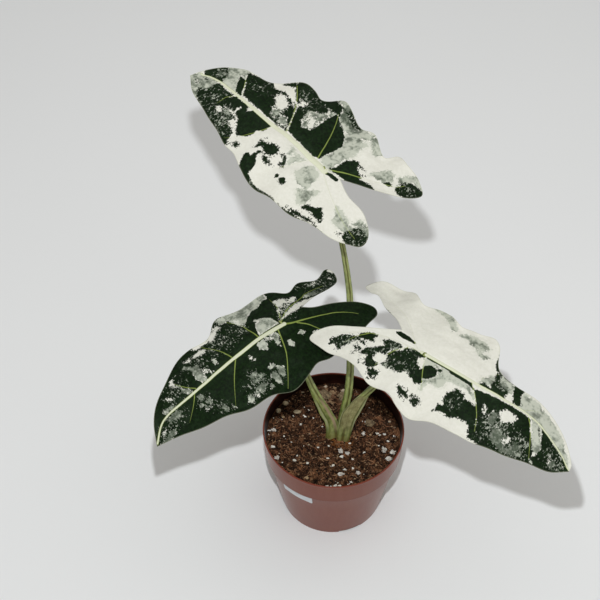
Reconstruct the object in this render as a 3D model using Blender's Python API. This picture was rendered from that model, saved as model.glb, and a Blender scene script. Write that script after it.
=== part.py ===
"""Potted alocasia: three arrow-shaped blades on grooved stems, in a round nursery pot.

Metres, +Z up. The origin is the middle of the pot's underside, and -Y is the front.
"""

import math

import bmesh
import bpy
import numpy as np
from mathutils import Vector
from mathutils.geometry import delaunay_2d_cdt

MM = 0.001

# Clearance between pieces that touch
gap = 0.0003

# Nursery pot
pot_height = 0.0935
rim_radius = 0.060
base_radius = 0.0447
pot_wall = 0.0012
collar_height = 0.0232
collar_draft = 0.0012
collar_step = 0.0020
foot_height = 0.0030
foot_width = 0.0042
floor_thickness = 0.0015
centre_pad_radius = 0.012
drain_hole_radius = 0.0038
drain_hole_circle = 0.029
drain_count = 4
drain_turn = math.radians(23)
notch_width = 0.020
notch_height = 0.0018
notch_turn = math.radians(-70)

# Blank sticker on the tapered wall, just under the collar
label_height = 0.0110
label_drop = 0.0006
label_thickness = 0.0003
label_start = math.radians(-138.5)
label_end = math.radians(-109)

# Potting mix
soil_rings = 11
soil_drop = 0.0185
soil_mound = 0.0015
soil_unevenness = 0.0008
soil_bank = 0.0060
soil_bank_start = 0.018
soil_bank_width = 0.030

# Corm and roots
corm_radius = 0.011
corm_half_height = 0.013
corm_above_soil = 0.0012
corm_centre = (0.0055, 0.0005)
root_radius = 0.0013
root_reach = 0.030
root_count = 5

# Stems: how wide and how deep a stem is at its top, where it carries the blade
stem_top_radius = 0.0019
stem_clearance = 0.0016

# Blades
blade_thickness = 0.0008
fold_rounding = 0.008
ruffle_height = 0.0022
ruffle_pitch = 0.036
ruffle_reach = 0.045
grid_spacing = 0.0095

# The three leaves. A stem's points are in millimetres from the soil line under the plant's
# centre. A blade's edges are in millimetres over its own plane, from the tip round a lobe to
# the notch, drawn for edge_length and scaled to blade_length.
leaves = {
    "top": {
        "stem": [(6, 10), (9, 11, 26), (12, 13, 50), (13, 18, 80), (11, 24, 118), (11, 29, 146),
                 (9, 32, 167), (6, 34, 189), (2, 37, 213), (-3, 39, 246), (-12, 40, 279)],
        "half_widths": [(0.0, 3.8), (0.12, 3.6), (0.30, 3.2), (0.70, 2.3), (1.0, 1.9)],
        "half_depths": [(0.0, 3.2), (0.12, 3.1), (0.30, 2.9), (0.70, 2.1), (1.0, 1.9)],
        "blade_length": 0.134,
        "heading": 135,
        "rise": 8,
        "arch_front": 0.4,
        "arch_back": 1.0,
        "fold_left": 0.20,
        "fold_right": 0.04,
        "twist": 0.0,
        "edge_length": 131,
        "left_edge": [(131, 7), (117, 17), (98, 23), (80, 29), (65, 34), (54, 35), (40, 42),
                      (27, 45), (4, 45), (-16, 42), (-37, 38), (-55, 32), (-64, 26), (-61, 16),
                      (-47, 7), (-30, 5), (-16, -1)],
        "right_edge": [(131, 7), (127, -6), (120, -19), (109, -27), (98, -29), (86, -33),
                       (71, -47), (58, -51), (49, -50), (36, -57), (22, -55), (8, -50), (-4, -50),
                       (-20, -43), (-26, -52), (-38, -48), (-51, -47), (-61, -39), (-55, -27),
                       (-42, -16), (-28, -8), (-16, -1)],
    },
    "left": {
        "stem": [(1, 2), (-2, 3, 18), (-8, 5, 33), (-20, 6, 71), (-31, 6, 109), (-38, 3, 133),
                 (-44, 0, 155)],
        "half_widths": [(0.0, 3.8), (0.10, 4.8), (0.22, 5.6), (0.34, 4.0), (0.48, 2.9), (1.0, 1.9)],
        "half_depths": [(0.0, 3.0), (0.22, 2.6), (0.34, 2.5), (1.0, 1.9)],
        "blade_length": 0.128,
        "heading": 215,
        "rise": -4,
        "arch_front": 1.8,
        "arch_back": 2.2,
        "fold_left": 0.14,
        "fold_right": 0.36,
        "twist": 1.5,
        "edge_length": 127,
        "left_edge": [(127, 20), (113, 26), (92, 34), (70, 42), (47, 48), (27, 53), (10, 52),
                      (-4, 46), (-18, 46), (-38, 41), (-56, 35), (-70, 30), (-73, 22), (-63, 13),
                      (-47, 7), (-30, 3), (-22, -2)],
        "right_edge": [(127, 20), (120, 5), (110, -7), (96, -17), (80, -28), (66, -30), (49, -29),
                       (36, -40), (24, -39), (5, -37), (-14, -36), (-24, -25), (-36, -29),
                       (-50, -24), (-64, -32), (-68, -26), (-63, -13), (-52, -8), (-36, -6),
                       (-22, -2)],
    },
    "right": {
        "stem": [(9.4, -0.5), (12, -1, 20), (15, -2, 39), (22, -5, 63), (31, -11, 88),
                 (46, -26, 129), (56, -37, 154), (64, -45, 171)],
        "half_widths": [(0.0, 3.8), (0.10, 5.2), (0.22, 6.6), (0.32, 5.6), (0.40, 3.2), (1.0, 1.9)],
        "half_depths": [(0.0, 3.0), (0.22, 2.6), (0.40, 2.5), (1.0, 1.9)],
        "blade_length": 0.130,
        "heading": -33,
        "rise": -4,
        "arch_front": 1.5,
        "arch_back": 1.4,
        "fold_left": 0.16,
        "fold_right": 0.20,
        "twist": 1.0,
        "edge_length": 135,
        "left_edge": [(135, -13), (133, -6), (120, 7), (104, 17), (90, 21), (72, 20), (57, 22),
                      (50, 28), (43, 44), (33, 51), (20, 48), (9, 43), (-4, 50), (-14, 53),
                      (-27, 47), (-40, 57), (-50, 59), (-70, 54), (-78, 44), (-70, 37),
                      (-62, 37), (-50, 27), (-36, 19), (-27, 11)],
        "right_edge": [(135, -13), (122, -24), (103, -31), (83, -37), (67, -43), (52, -43),
                       (34, -48), (18, -52), (4, -50), (-7, -45), (-24, -44), (-40, -38),
                       (-54, -35), (-67, -36), (-83, -33), (-84, -24), (-75, -13), (-58, -5),
                       (-41, 3), (-27, 11)],
    },
}

# Loose bits on the potting mix: place on the soil and half sizes, in millimetres. They are
# drawn for a mix of bits_mix_radius, and scale with the radius that the pot leaves for it.
bits_mix_radius = 0.0576
perlite = [(43, -16, 2.4, 3.2, 2.2), (50, -18, 2.8, 2.4, 2.0), (46, -25, 3.2, 2.2, 2.0),
           (6, -13, 2.2, 2.6, 1.6), (6, -39, 3.0, 2.0, 1.8), (20, -39, 2.4, 2.0, 1.6),
           (-51, 5, 2.2, 1.8, 1.6), (26, 5, 1.8, 2.4, 1.4), (-48, -23, 2.4, 2.0, 1.4),
           (12, -15, 2.2, 1.6, 1.4)]
pebbles = [(-47, 26, 2.4, 2.2, 2.0), (-41, 34, 2.6, 2.2, 1.8), (-31, 25, 3.6, 1.8, 1.4)]
bark = [(32, 13, 4.4, 4.0, 2.0), (-7, 43, 7.0, 5.5, 1.8), (9, 41, 5.5, 5.0, 1.6)]

# Sizes that follow from the ones above
soil_level = pot_height - soil_drop
collar_bottom = pot_height - collar_height
collar_bottom_radius = rim_radius - collar_draft
wall_top_radius = collar_bottom_radius - collar_step
floor_top = foot_height + floor_thickness
stem_foot = corm_above_soil + gap


def finish(name, colour, roughness):
    """A plain material of one colour."""
    material = bpy.data.materials.new(name)
    material.use_nodes = True
    shader = material.node_tree.nodes["Principled BSDF"]
    shader.inputs["Base Color"].default_value = (*colour, 1.0)
    shader.inputs["Roughness"].default_value = roughness
    shader.inputs["Metallic"].default_value = 0.0
    return material


def solid(name, points, faces, material, crease=35):
    """One closed body from its points and faces, with its faces turned outwards."""
    mesh = bpy.data.meshes.new(name)
    mesh.from_pydata([tuple(p) for p in points], [], faces)
    work = bmesh.new()
    work.from_mesh(mesh)
    bmesh.ops.recalc_face_normals(work, faces=work.faces)
    work.to_mesh(mesh)
    work.free()
    mesh.shade_smooth()
    mesh.set_sharp_from_angle(angle=math.radians(crease))
    mesh.materials.append(material)
    piece = bpy.data.objects.new(name, mesh)
    bpy.context.scene.collection.objects.link(piece)
    return piece


def carve(piece, cutter):
    """Cuts one closed body out of another, and keeps the cutter as a guide only."""
    cutter.hide_render = True
    cutter.display_type = "WIRE"
    cut = piece.modifiers.new("cut_" + cutter.name, "BOOLEAN")
    cut.operation = "DIFFERENCE"
    cut.object = cutter


def smooth_line(points, steps):
    """A Catmull-Rom curve through the points, with so many steps between neighbours."""
    knots = [np.array(p, float) for p in points]
    knots = [2 * knots[0] - knots[1], *knots, 2 * knots[-1] - knots[-2]]
    line = []
    for a, b, c, d in zip(knots, knots[1:], knots[2:], knots[3:]):
        for step in range(steps):
            t = step / steps
            line.append(b + 0.5 * t * ((c - a) + t * ((2 * a - 5 * b + 4 * c - d)
                                                      + t * (3 * (b - c) + d - a))))
    line.append(knots[-2])
    return line


def turned(profile, segments):
    """Points and faces of a profile turned round Z; both of its ends lie on the axis."""
    points = [Vector((0, 0, profile[0][1]))]
    rows = profile[1:-1]
    for radius, height in rows:
        for k in range(segments):
            angle = 2 * math.pi * k / segments
            points.append(Vector((radius * math.cos(angle), radius * math.sin(angle), height)))
    points.append(Vector((0, 0, profile[-1][1])))
    last = len(points) - 1
    faces = []
    for k in range(segments):
        following = (k + 1) % segments
        faces.append((0, 1 + following, 1 + k))
        for row in range(len(rows) - 1):
            start = 1 + row * segments
            faces.append((start + k, start + following, start + segments + following,
                          start + segments + k))
        end = 1 + (len(rows) - 1) * segments
        faces.append((end + k, end + following, last))
    return points, faces


def swept(line, half_widths, half_depths, sides):
    """Points and faces of an oval section carried along a line, wide across the front."""
    line = [Vector(p) for p in line]
    front = Vector((0, -1, 0))
    points = []
    for k, centre in enumerate(line):
        along = line[min(k + 1, len(line) - 1)] - line[max(k - 1, 0)]
        if k == 0:
            along = Vector((0, 0, 1)) if line[1].z > line[0].z else line[1] - line[0]
        along.normalize()
        across = along.cross(front).normalized()
        out = across.cross(along)
        for side in range(sides):
            angle = 2 * math.pi * side / sides
            points.append(centre + across * half_widths[k] * math.cos(angle)
                          + out * half_depths[k] * math.sin(angle))
    faces = []
    for k in range(len(line) - 1):
        for side in range(sides):
            following = (side + 1) % sides
            faces.append((k * sides + side, k * sides + following,
                          (k + 1) * sides + following, (k + 1) * sides + side))
    for k, centre in ((0, line[0]), (len(line) - 1, line[-1])):
        points.append(centre)
        for side in range(sides):
            faces.append((k * sides + side, k * sides + (side + 1) % sides, len(points) - 1))
    return points, faces


def wall_radius(height):
    """Outer radius of the tapered wall below the collar."""
    share = height / collar_bottom
    return base_radius + (wall_top_radius - base_radius) * share


def soil_surface(x, y):
    """Height of the mix: a low mound with a few soft waves, banked up towards the wall."""
    reach = 1 - (math.hypot(x, y) / rim_radius) ** 2
    waves = math.sin(x * 130 + 1.0) * math.cos(y * 110 + 0.4)
    share = min(max((math.hypot(x, y) - soil_bank_start) / soil_bank_width, 0), 1)
    bank = soil_bank * share * share * (3 - 2 * share)
    return soil_level + soil_mound * reach + soil_unevenness * waves + bank


def pot(material):
    """The pot: collar, tapered wall, floor with drain holes, and a foot ring with notches."""
    inner_rim = rim_radius - pot_wall
    recess_radius = base_radius - foot_width
    profile = [
        (0, 0), (centre_pad_radius, 0), (centre_pad_radius, foot_height),
        (recess_radius, foot_height), (recess_radius, 0), (base_radius, 0),
        (wall_radius(collar_bottom / 2), collar_bottom / 2),
        (wall_top_radius, collar_bottom - pot_wall), (collar_bottom_radius, collar_bottom),
        (rim_radius, pot_height - pot_wall), (rim_radius - pot_wall / 3, pot_height),
        (inner_rim, pot_height), (collar_bottom_radius - pot_wall, collar_bottom + pot_wall),
        (wall_top_radius - pot_wall, collar_bottom),
        (wall_radius(floor_top) - pot_wall, floor_top), (0, floor_top),
    ]
    piece = solid("pot", *turned(profile, 56), material)
    for k in range(drain_count):
        turn = drain_turn + 2 * math.pi * k / drain_count
        hole = [(0, -foot_height), (drain_hole_radius, -foot_height),
                (drain_hole_radius, 2 * floor_top), (0, 2 * floor_top)]
        cutter = solid(f"drain_hole_{k + 1}", *turned(hole, 16), material)
        cutter.location = (drain_hole_circle * math.cos(turn), drain_hole_circle * math.sin(turn), 0)
        cutter.rotation_euler.z = turn / 3
        carve(piece, cutter)
    for k in range(drain_count):
        turn = notch_turn + 2 * math.pi * k / drain_count
        inner = recess_radius - foot_width / 2
        outer = base_radius + foot_width
        corners = [(r, s * notch_width / 2, z) for r in (inner, outer) for s in (-1, 1)
                   for z in (-notch_height, notch_height)]
        faces = [(0, 1, 3, 2), (4, 5, 7, 6), (0, 1, 5, 4), (2, 3, 7, 6), (0, 2, 6, 4), (1, 3, 7, 5)]
        cutter = solid(f"foot_notch_{k + 1}", corners, faces, material)
        cutter.rotation_euler.z = turn
        carve(piece, cutter)
    return piece


def label(material):
    """The blank sticker: a thin strip wrapped round the tapered wall."""
    top = collar_bottom - pot_wall - label_drop
    columns = 14
    points = []
    for k in range(columns + 1):
        angle = label_start + (label_end - label_start) * k / columns
        for z in (top - label_height, top):
            for stand_off in (gap, gap + label_thickness):
                radius = wall_radius(z) + stand_off
                points.append((radius * math.cos(angle), radius * math.sin(angle), z))
    faces = [(0, 1, 3, 2)]
    for k in range(columns):
        a = 4 * k
        for near, far in ((0, 1), (1, 3), (3, 2), (2, 0)):
            faces.append((a + near, a + far, a + 4 + far, a + 4 + near))
    end = 4 * columns
    faces.append((end, end + 1, end + 3, end + 2))
    return solid("label", points, faces, material)


def crown_height():
    """Height of the mix where the plant comes out of it."""
    return soil_surface(*corm_centre)


def corm_middle():
    """The corm's middle: its top stands a little out of the mix."""
    return Vector((*corm_centre, crown_height() + corm_above_soil - corm_half_height))


def root_line(number):
    """A root's line: out of the corm, then round and down towards the pot's wall."""
    turn = 2 * math.pi * (number + 0.3) / root_count
    out = Vector((math.cos(turn), math.sin(turn), 0))
    centre = corm_middle()
    tilt = math.radians(-35)
    normal = Vector((out.x * math.cos(tilt) / corm_radius, out.y * math.cos(tilt) / corm_radius,
                     math.sin(tilt) / corm_half_height)).normalized()
    skin = centre + Vector((out.x * corm_radius * math.cos(tilt),
                            out.y * corm_radius * math.cos(tilt),
                            corm_half_height * math.sin(tilt)))
    first = skin + normal * gap
    knee = skin + normal * 0.008
    end = centre + out * root_reach
    end.z = floor_top + 0.010 + 0.004 * (number % 3)
    middle = knee.lerp(end, 0.5) + out * 0.005
    return smooth_line([first, knee, middle, end], 4)


def channel_line(line, into_well, past_tip):
    """A root's line, longer at both ends, for the channel that holds it."""
    start = line[0] - (line[1] - line[0]) / np.linalg.norm(line[1] - line[0]) * into_well
    end = line[-1] + (line[-1] - line[-2]) / np.linalg.norm(line[-1] - line[-2]) * past_tip
    return [start, *line, end]


def roots(material):
    """The fleshy roots, one object each."""
    for number in range(root_count):
        line = root_line(number)
        radii = np.linspace(root_radius, root_radius * 0.6, len(line))
        solid(f"root_{number + 1}", *swept(line, radii, radii, 8), material)


def corm_body(name, clearance, material):
    """The corm, or the well that it sits in when there is a clearance."""
    radius = corm_radius + clearance
    half = corm_half_height + clearance
    profile = [(radius * math.sin(a), -half * math.cos(a)) for a in np.linspace(0, math.pi, 11)]
    profile[0] = (0, -half)
    profile[-1] = (0, half)
    piece = solid(name, *turned(profile, 20), material)
    piece.location = corm_middle()
    return piece


def soil(material):
    """The potting mix, with a well for the corm and a channel for each root."""
    foot = wall_radius(floor_top) - pot_wall - gap
    edge = wall_top_radius - pot_wall - gap
    step = collar_bottom_radius - pot_wall - gap
    profile = [(0, floor_top + gap), (foot, floor_top + gap), (edge, collar_bottom),
               (step, collar_bottom + pot_wall + gap), (step, soil_level)]
    profile += [(step * share, soil_level) for share in np.linspace(0.93, 0.15, soil_rings)]
    profile.append((0, soil_level))
    points, faces = turned(profile, 44)
    for point in points:
        if point.z > soil_level - gap:
            point.z = soil_surface(point.x, point.y)
    piece = solid("soil", points, faces, material)
    carve(piece, corm_body("corm_well", gap, material))
    for number in range(root_count):
        line = root_line(number)
        radii = np.linspace(root_radius, root_radius * 0.6, len(line)) + gap
        radii = [radii[0], *radii, radii[-1]]
        line = channel_line(line, 0.003, gap)
        carve(piece, solid(f"root_channel_{number + 1}", *swept(line, radii, radii, 8), material))
    return piece


def stem_points(leaf):
    """A stem's line, from the corm up to the blade's junction, in metres."""
    crown = Vector((0, 0, crown_height()))
    foot, *rest = leaf["stem"]
    points = [crown + Vector((foot[0] * MM, foot[1] * MM, stem_foot))]
    points += [crown + Vector(p) * MM for p in rest]
    return points


def stem(name, leaf, material):
    """A stem, broad at the foot where it sheathes its neighbour, and round at the top."""
    points = stem_points(leaf)
    end = points[-1] - points[-2]
    points[-1] = points[-1] - end.normalized() * (blade_thickness + stem_clearance)
    line = smooth_line(points, 3)
    travelled = np.cumsum([0.0] + [float(np.linalg.norm(b - a)) for a, b in zip(line, line[1:])])
    shares = travelled / travelled[-1]
    widths = np.interp(shares, *zip(*leaf["half_widths"])) * MM
    depths = np.interp(shares, *zip(*leaf["half_depths"])) * MM
    taper = stem_top_radius / (1.9 * MM)
    return solid(name, *swept(line, widths * taper, depths * taper, 12), material)


def blade_height(leaf, x, y):
    """Height of a blade's upper face over its plane: arched, folded along the midrib, ruffled."""
    arch = leaf["arch_front"] if x > 0 else leaf["arch_back"]
    fold = leaf["fold_left"] if y > 0 else leaf["fold_right"]
    twist = leaf["twist"] * x * y if x < 0 else 0.0
    phase = 0.6 if y > 0 else 2.2
    ruffle = ruffle_height * (y / ruffle_reach) ** 2 * math.sin(2 * math.pi * x / ruffle_pitch + phase)
    drop = fold * (math.hypot(y, fold_rounding) - fold_rounding)
    return twist + ruffle - arch * x * x - drop


def blade_axes(leaf):
    """Unit vectors of a blade's plane: forward to the tip, left, and up out of its face."""
    heading = math.radians(leaf["heading"])
    rise = math.radians(leaf["rise"])
    forward = Vector((math.cos(rise) * math.cos(heading), math.cos(rise) * math.sin(heading),
                      math.sin(rise)))
    left = Vector((-math.sin(heading), math.cos(heading), 0))
    return forward, left, forward.cross(left)


def blade(name, leaf, material):
    """A blade: a thin arched sheet with a pointed tip and two lobes behind the junction."""
    scale = leaf["blade_length"] / leaf["edge_length"]
    left = smooth_line(leaf["left_edge"], 2)
    right = smooth_line(leaf["right_edge"], 2)
    edge = [p * scale for p in left + right[-2:0:-1]]
    inside = []
    low = np.min(edge, axis=0)
    high = np.max(edge, axis=0)
    for x in np.arange(low[0] + grid_spacing / 2, high[0], grid_spacing):
        for y in np.arange(low[1] + grid_spacing / 2, high[1], grid_spacing):
            nearest = min(math.hypot(x - p[0], y - p[1]) for p in edge)
            if nearest > grid_spacing * 0.45:
                inside.append((x, y))
    loop = list(range(len(edge)))
    flat = [Vector(p) for p in edge] + [Vector(p) for p in inside]
    points_2d, _, triangles, _, _, _ = delaunay_2d_cdt(flat, [], [loop], 1, 1e-6)
    forward, sideways, up = blade_axes(leaf)
    junction = stem_points(leaf)[-1]
    upper = []
    for p in points_2d:
        height = blade_height(leaf, p.x, p.y)
        upper.append(junction + forward * p.x + sideways * p.y + up * height)
    lower = [p - up * blade_thickness for p in upper]
    count = len(upper)
    faces = [tuple(t) for t in triangles]
    faces += [tuple(i + count for i in reversed(t)) for t in triangles]
    directed = {(t[k], t[(k + 1) % 3]) for t in triangles for k in range(3)}
    faces += [(b, a, a + count, b + count) for a, b in sorted(directed) if (b, a) not in directed]
    return solid(name, upper + lower, faces, material, 60)


def bit(name, place, material, seed):
    """One loose bit: a lumpy pebble shape that lies on the mix."""
    scale = (collar_bottom_radius - pot_wall) / bits_mix_radius
    x, y, *halves = (value * MM * scale for value in place)
    work = bmesh.new()
    bmesh.ops.create_icosphere(work, subdivisions=2, radius=1.0)
    faces = [[v.index for v in f.verts] for f in work.faces]
    points = []
    for v in work.verts:
        lump = 1 + 0.12 * math.sin(5 * v.co.x + seed) * math.cos(4 * v.co.y - 2 * seed + v.co.z)
        points.append(Vector((x + v.co.x * halves[0] * lump, y + v.co.y * halves[1] * lump,
                              v.co.z * halves[2] * lump)))
    work.free()
    rise = 2 * gap - min(p.z - soil_surface(p.x, p.y) for p in points)
    for p in points:
        p.z += rise
    return solid(name, points, faces, material, 50)


def bits(material_of):
    """Perlite, pebbles and bark on the mix, one object each."""
    for kind, places in (("perlite", perlite), ("pebble", pebbles), ("bark", bark)):
        for number, place in enumerate(places):
            bit(f"{kind}_{number + 1}", place, material_of[kind], number * 1.7)


for old in list(bpy.data.objects):
    bpy.data.objects.remove(old)

plastic = finish("pot_plastic", (0.20, 0.095, 0.080), 0.50)
paper = finish("label_paper", (0.72, 0.74, 0.76), 0.55)
mix = finish("potting_mix", (0.045, 0.026, 0.018), 0.95)
corm_skin = finish("corm_skin", (0.20, 0.07, 0.02), 0.70)
root_skin = finish("root_skin", (0.62, 0.52, 0.38), 0.70)
stem_skin = finish("stem_skin", (0.20, 0.25, 0.08), 0.45)
blade_skin = finish("blade_skin", (0.03, 0.07, 0.03), 0.40)
loose = {
    "perlite": finish("perlite_grain", (0.75, 0.73, 0.68), 0.90),
    "pebble": finish("pebble_stone", (0.42, 0.33, 0.20), 0.80),
    "bark": finish("bark_chip", (0.22, 0.15, 0.08), 0.90),
}

pot(plastic)
label(paper)
soil(mix)
corm_body("corm", 0.0, corm_skin)
roots(root_skin)
for side, leaf in leaves.items():
    stem(f"stem_{side}", leaf, stem_skin)
    blade(f"blade_{side}", leaf, blade_skin)
bits(loose)
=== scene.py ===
import math

import bmesh
import bpy
import numpy as np
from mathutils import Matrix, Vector, noise
from mathutils.geometry import delaunay_2d_cdt


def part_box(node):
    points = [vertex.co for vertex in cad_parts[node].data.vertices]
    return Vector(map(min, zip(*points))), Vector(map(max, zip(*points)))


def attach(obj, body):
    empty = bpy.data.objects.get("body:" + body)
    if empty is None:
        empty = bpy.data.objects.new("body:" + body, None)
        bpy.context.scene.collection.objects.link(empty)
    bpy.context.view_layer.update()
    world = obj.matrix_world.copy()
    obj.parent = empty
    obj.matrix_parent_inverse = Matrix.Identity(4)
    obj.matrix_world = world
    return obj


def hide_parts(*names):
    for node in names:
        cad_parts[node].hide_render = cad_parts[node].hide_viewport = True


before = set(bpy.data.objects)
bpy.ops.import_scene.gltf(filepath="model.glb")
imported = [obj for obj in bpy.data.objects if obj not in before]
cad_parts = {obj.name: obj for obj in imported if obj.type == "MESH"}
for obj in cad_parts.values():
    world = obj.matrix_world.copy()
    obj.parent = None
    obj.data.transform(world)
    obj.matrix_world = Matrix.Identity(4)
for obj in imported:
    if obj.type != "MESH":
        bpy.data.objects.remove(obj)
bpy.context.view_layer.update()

# ---- The pot ------------------------------------------------------------------------------
# A round nursery pot, injection moulded in one shot from thin red-brown polypropylene. It has
# a collar that steps out near the top, a foot ring with four notches, and four drain holes.

MM = 0.001
gap = 0.3 * MM
pot_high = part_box("pot")[1]
pot_height = pot_high.z
rim_radius = pot_high.x
base_radius = 44.7 * MM
pot_wall = 1.2 * MM
collar_height = 23.2 * MM
collar_draft = 1.2 * MM
collar_step = 2.0 * MM
foot_height = 3.0 * MM
foot_width = 4.2 * MM
floor_thickness = 1.5 * MM
centre_pad_radius = 12 * MM
lip_rounding = 0.35 * MM
step_rounding = 0.45 * MM
drain_hole_radius = 3.8 * MM
drain_hole_circle = 29 * MM
drain_turn = math.radians(23)
notch_width = 20 * MM
notch_height = 1.8 * MM
notch_turn = math.radians(-70)
openings_round = 4
collar_bottom = pot_height - collar_height
collar_bottom_radius = rim_radius - collar_draft
wall_top_radius = collar_bottom_radius - collar_step
floor_top = foot_height + floor_thickness
pot_segments = 120

plastic_colour = (0.190, 0.044, 0.022, 1)
plastic_scuffed = (0.220, 0.064, 0.036, 1)
# Painted shade: the inner wall is the same plastic, coloured near black for the shade inside the pot.
painted_inner_wall_shade = (0.022, 0.006, 0.004, 1)
plastic_edge = (0.205, 0.040, 0.020, 1)


class Wire:
    """One socket among a material's nodes. Sums on it add the nodes that work them out."""

    def __init__(self, tree, socket=None):
        self.tree = tree
        self.socket = socket

    def node(self, kind, settings, inputs, output=0):
        """A new node of that type: its settings first, then its sockets' values or links."""
        made = self.tree.nodes.new("ShaderNode" + kind)
        for name, value in settings.items():
            if name == "stops":
                while len(made.color_ramp.elements) < len(value):
                    made.color_ramp.elements.new(1.0)
                for element, (place, colour) in zip(made.color_ramp.elements, value):
                    element.position = place
                    element.color = colour
            else:
                setattr(made, name, value)
        for name, value in inputs.items():
            if isinstance(value, Wire):
                self.tree.links.new(value.socket, made.inputs[name])
            else:
                made.inputs[name].default_value = value
        return Wire(self.tree, made.outputs[output])

    def sum(self, operation, *values):
        return self.node("Math", {"operation": operation}, dict(enumerate(values)))

    def __add__(self, other):
        return self.sum("ADD", self, other)

    def __sub__(self, other):
        return self.sum("SUBTRACT", self, other)

    def __rsub__(self, other):
        return self.sum("SUBTRACT", other, self)

    def __mul__(self, other):
        return self.sum("MULTIPLY", self, other)

    __radd__ = __add__
    __rmul__ = __mul__

    def mask(self, low, high):
        """0 below low, 1 above high, and a smooth step between them."""
        limits = {"Value": self, "From Min": low, "From Max": high}
        return self.node("MapRange", {"interpolation_type": "SMOOTHSTEP"}, limits)

    def pick(self, first, second):
        """The first colour where this value is 0, and the second where it is 1."""
        return self.node("Mix", {"data_type": "RGBA"}, {0: self, 6: first, 7: second}, 2)

    def place(self):
        """The piece's own coordinates, in metres."""
        return self.node("TexCoord", {}, {}, 3)

    def part(self, number):
        """One coordinate of a vector: 0 is x, 1 is y and 2 is z."""
        return self.node("SeparateXYZ", {}, {0: self}, number)

    def stretch(self, x, y, z):
        """The vector with each of its coordinates multiplied."""
        return self.node("VectorMath", {"operation": "MULTIPLY"}, {0: self, 1: (x, y, z)})

    def grain(self, scale, detail=2.0, roughness=0.5):
        """Soft random noise over these coordinates, from 0 to 1."""
        sizes = {"Vector": self, "Scale": scale, "Detail": detail, "Roughness": roughness}
        return self.node("TexNoise", {}, sizes)

    def held(self, name):
        """A value that the mesh holds at its points."""
        return self.node("Attribute", {"attribute_name": name}, {}, 2)

    def bump(self, distance, strength=1.0):
        """The normal of a surface with this height, in parts of distance."""
        sizes = {"Height": self, "Distance": distance, "Strength": strength}
        return self.node("Bump", {}, sizes)


def finish(name, paint):
    """A material. paint takes its first wire, and gives the values of its shader's sockets."""
    material = bpy.data.materials.new(name)
    material.use_nodes = True
    tree = material.node_tree
    shader = tree.nodes["Principled BSDF"]
    for socket, value in paint(Wire(tree)).items():
        if isinstance(value, Wire):
            tree.links.new(value.socket, shader.inputs[socket])
        else:
            shader.inputs[socket].default_value = value
    return material


def body(name, points, faces, material, crease=40):
    """One mesh object with its faces turned outwards, shaded smooth but for sharp edges."""
    mesh = bpy.data.meshes.new(name)
    mesh.from_pydata([tuple(p) for p in points], [], faces)
    work = bmesh.new()
    work.from_mesh(mesh)
    bmesh.ops.recalc_face_normals(work, faces=work.faces)
    work.to_mesh(mesh)
    work.free()
    mesh.shade_smooth()
    mesh.set_sharp_from_angle(angle=math.radians(crease))
    mesh.materials.append(material)
    piece = bpy.data.objects.new(name, mesh)
    bpy.context.scene.collection.objects.link(piece)
    return piece


def rounded(corners, steps=4):
    """A profile of (radius, height, rounding) corners with an arc at each rounded one."""
    line = []
    for k, (x, z, rounding) in enumerate(corners):
        here = Vector((x, z))
        if not rounding:
            line.append(tuple(here))
            continue
        before = Vector(corners[k - 1][:2]) - here
        after = Vector(corners[k + 1][:2]) - here
        start = here + before.normalized() * rounding
        end = here + after.normalized() * rounding
        for step in range(steps + 1):
            t = step / steps
            line.append(tuple((1 - t) ** 2 * start + 2 * t * (1 - t) * here + t * t * end))
    return line


def turned(profile, segments):
    """Points and faces of a profile turned round Z; both of its ends lie on the axis."""
    points = [(0, 0, profile[0][1])]
    rows = profile[1:-1]
    for radius, height in rows:
        for k in range(segments):
            angle = 2 * math.pi * k / segments
            points.append((radius * math.cos(angle), radius * math.sin(angle), height))
    points.append((0, 0, profile[-1][1]))
    faces = []
    for k in range(segments):
        following = (k + 1) % segments
        faces.append((0, 1 + following, 1 + k))
        for row in range(len(rows) - 1):
            start = 1 + row * segments
            faces.append((start + k, start + following, start + segments + following,
                          start + segments + k))
        end = 1 + (len(rows) - 1) * segments
        faces.append((end + k, end + following, len(points) - 1))
    return points, faces


def carved(piece, cutters):
    """Cuts the cutters out of a piece for good, and takes them away."""
    for cutter in cutters:
        cut = piece.modifiers.new("cut", "BOOLEAN")
        cut.operation = "DIFFERENCE"
        cut.object = cutter
    depsgraph = bpy.context.evaluated_depsgraph_get()
    mesh = bpy.data.meshes.new_from_object(piece.evaluated_get(depsgraph))
    mesh.set_sharp_from_angle(angle=math.radians(35))
    piece.modifiers.clear()
    piece.data = mesh
    for cutter in cutters:
        bpy.data.objects.remove(cutter)


def wall_radius(height):
    """Outer radius of the tapered wall below the collar."""
    return base_radius + (wall_top_radius - base_radius) * height / collar_bottom


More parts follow.
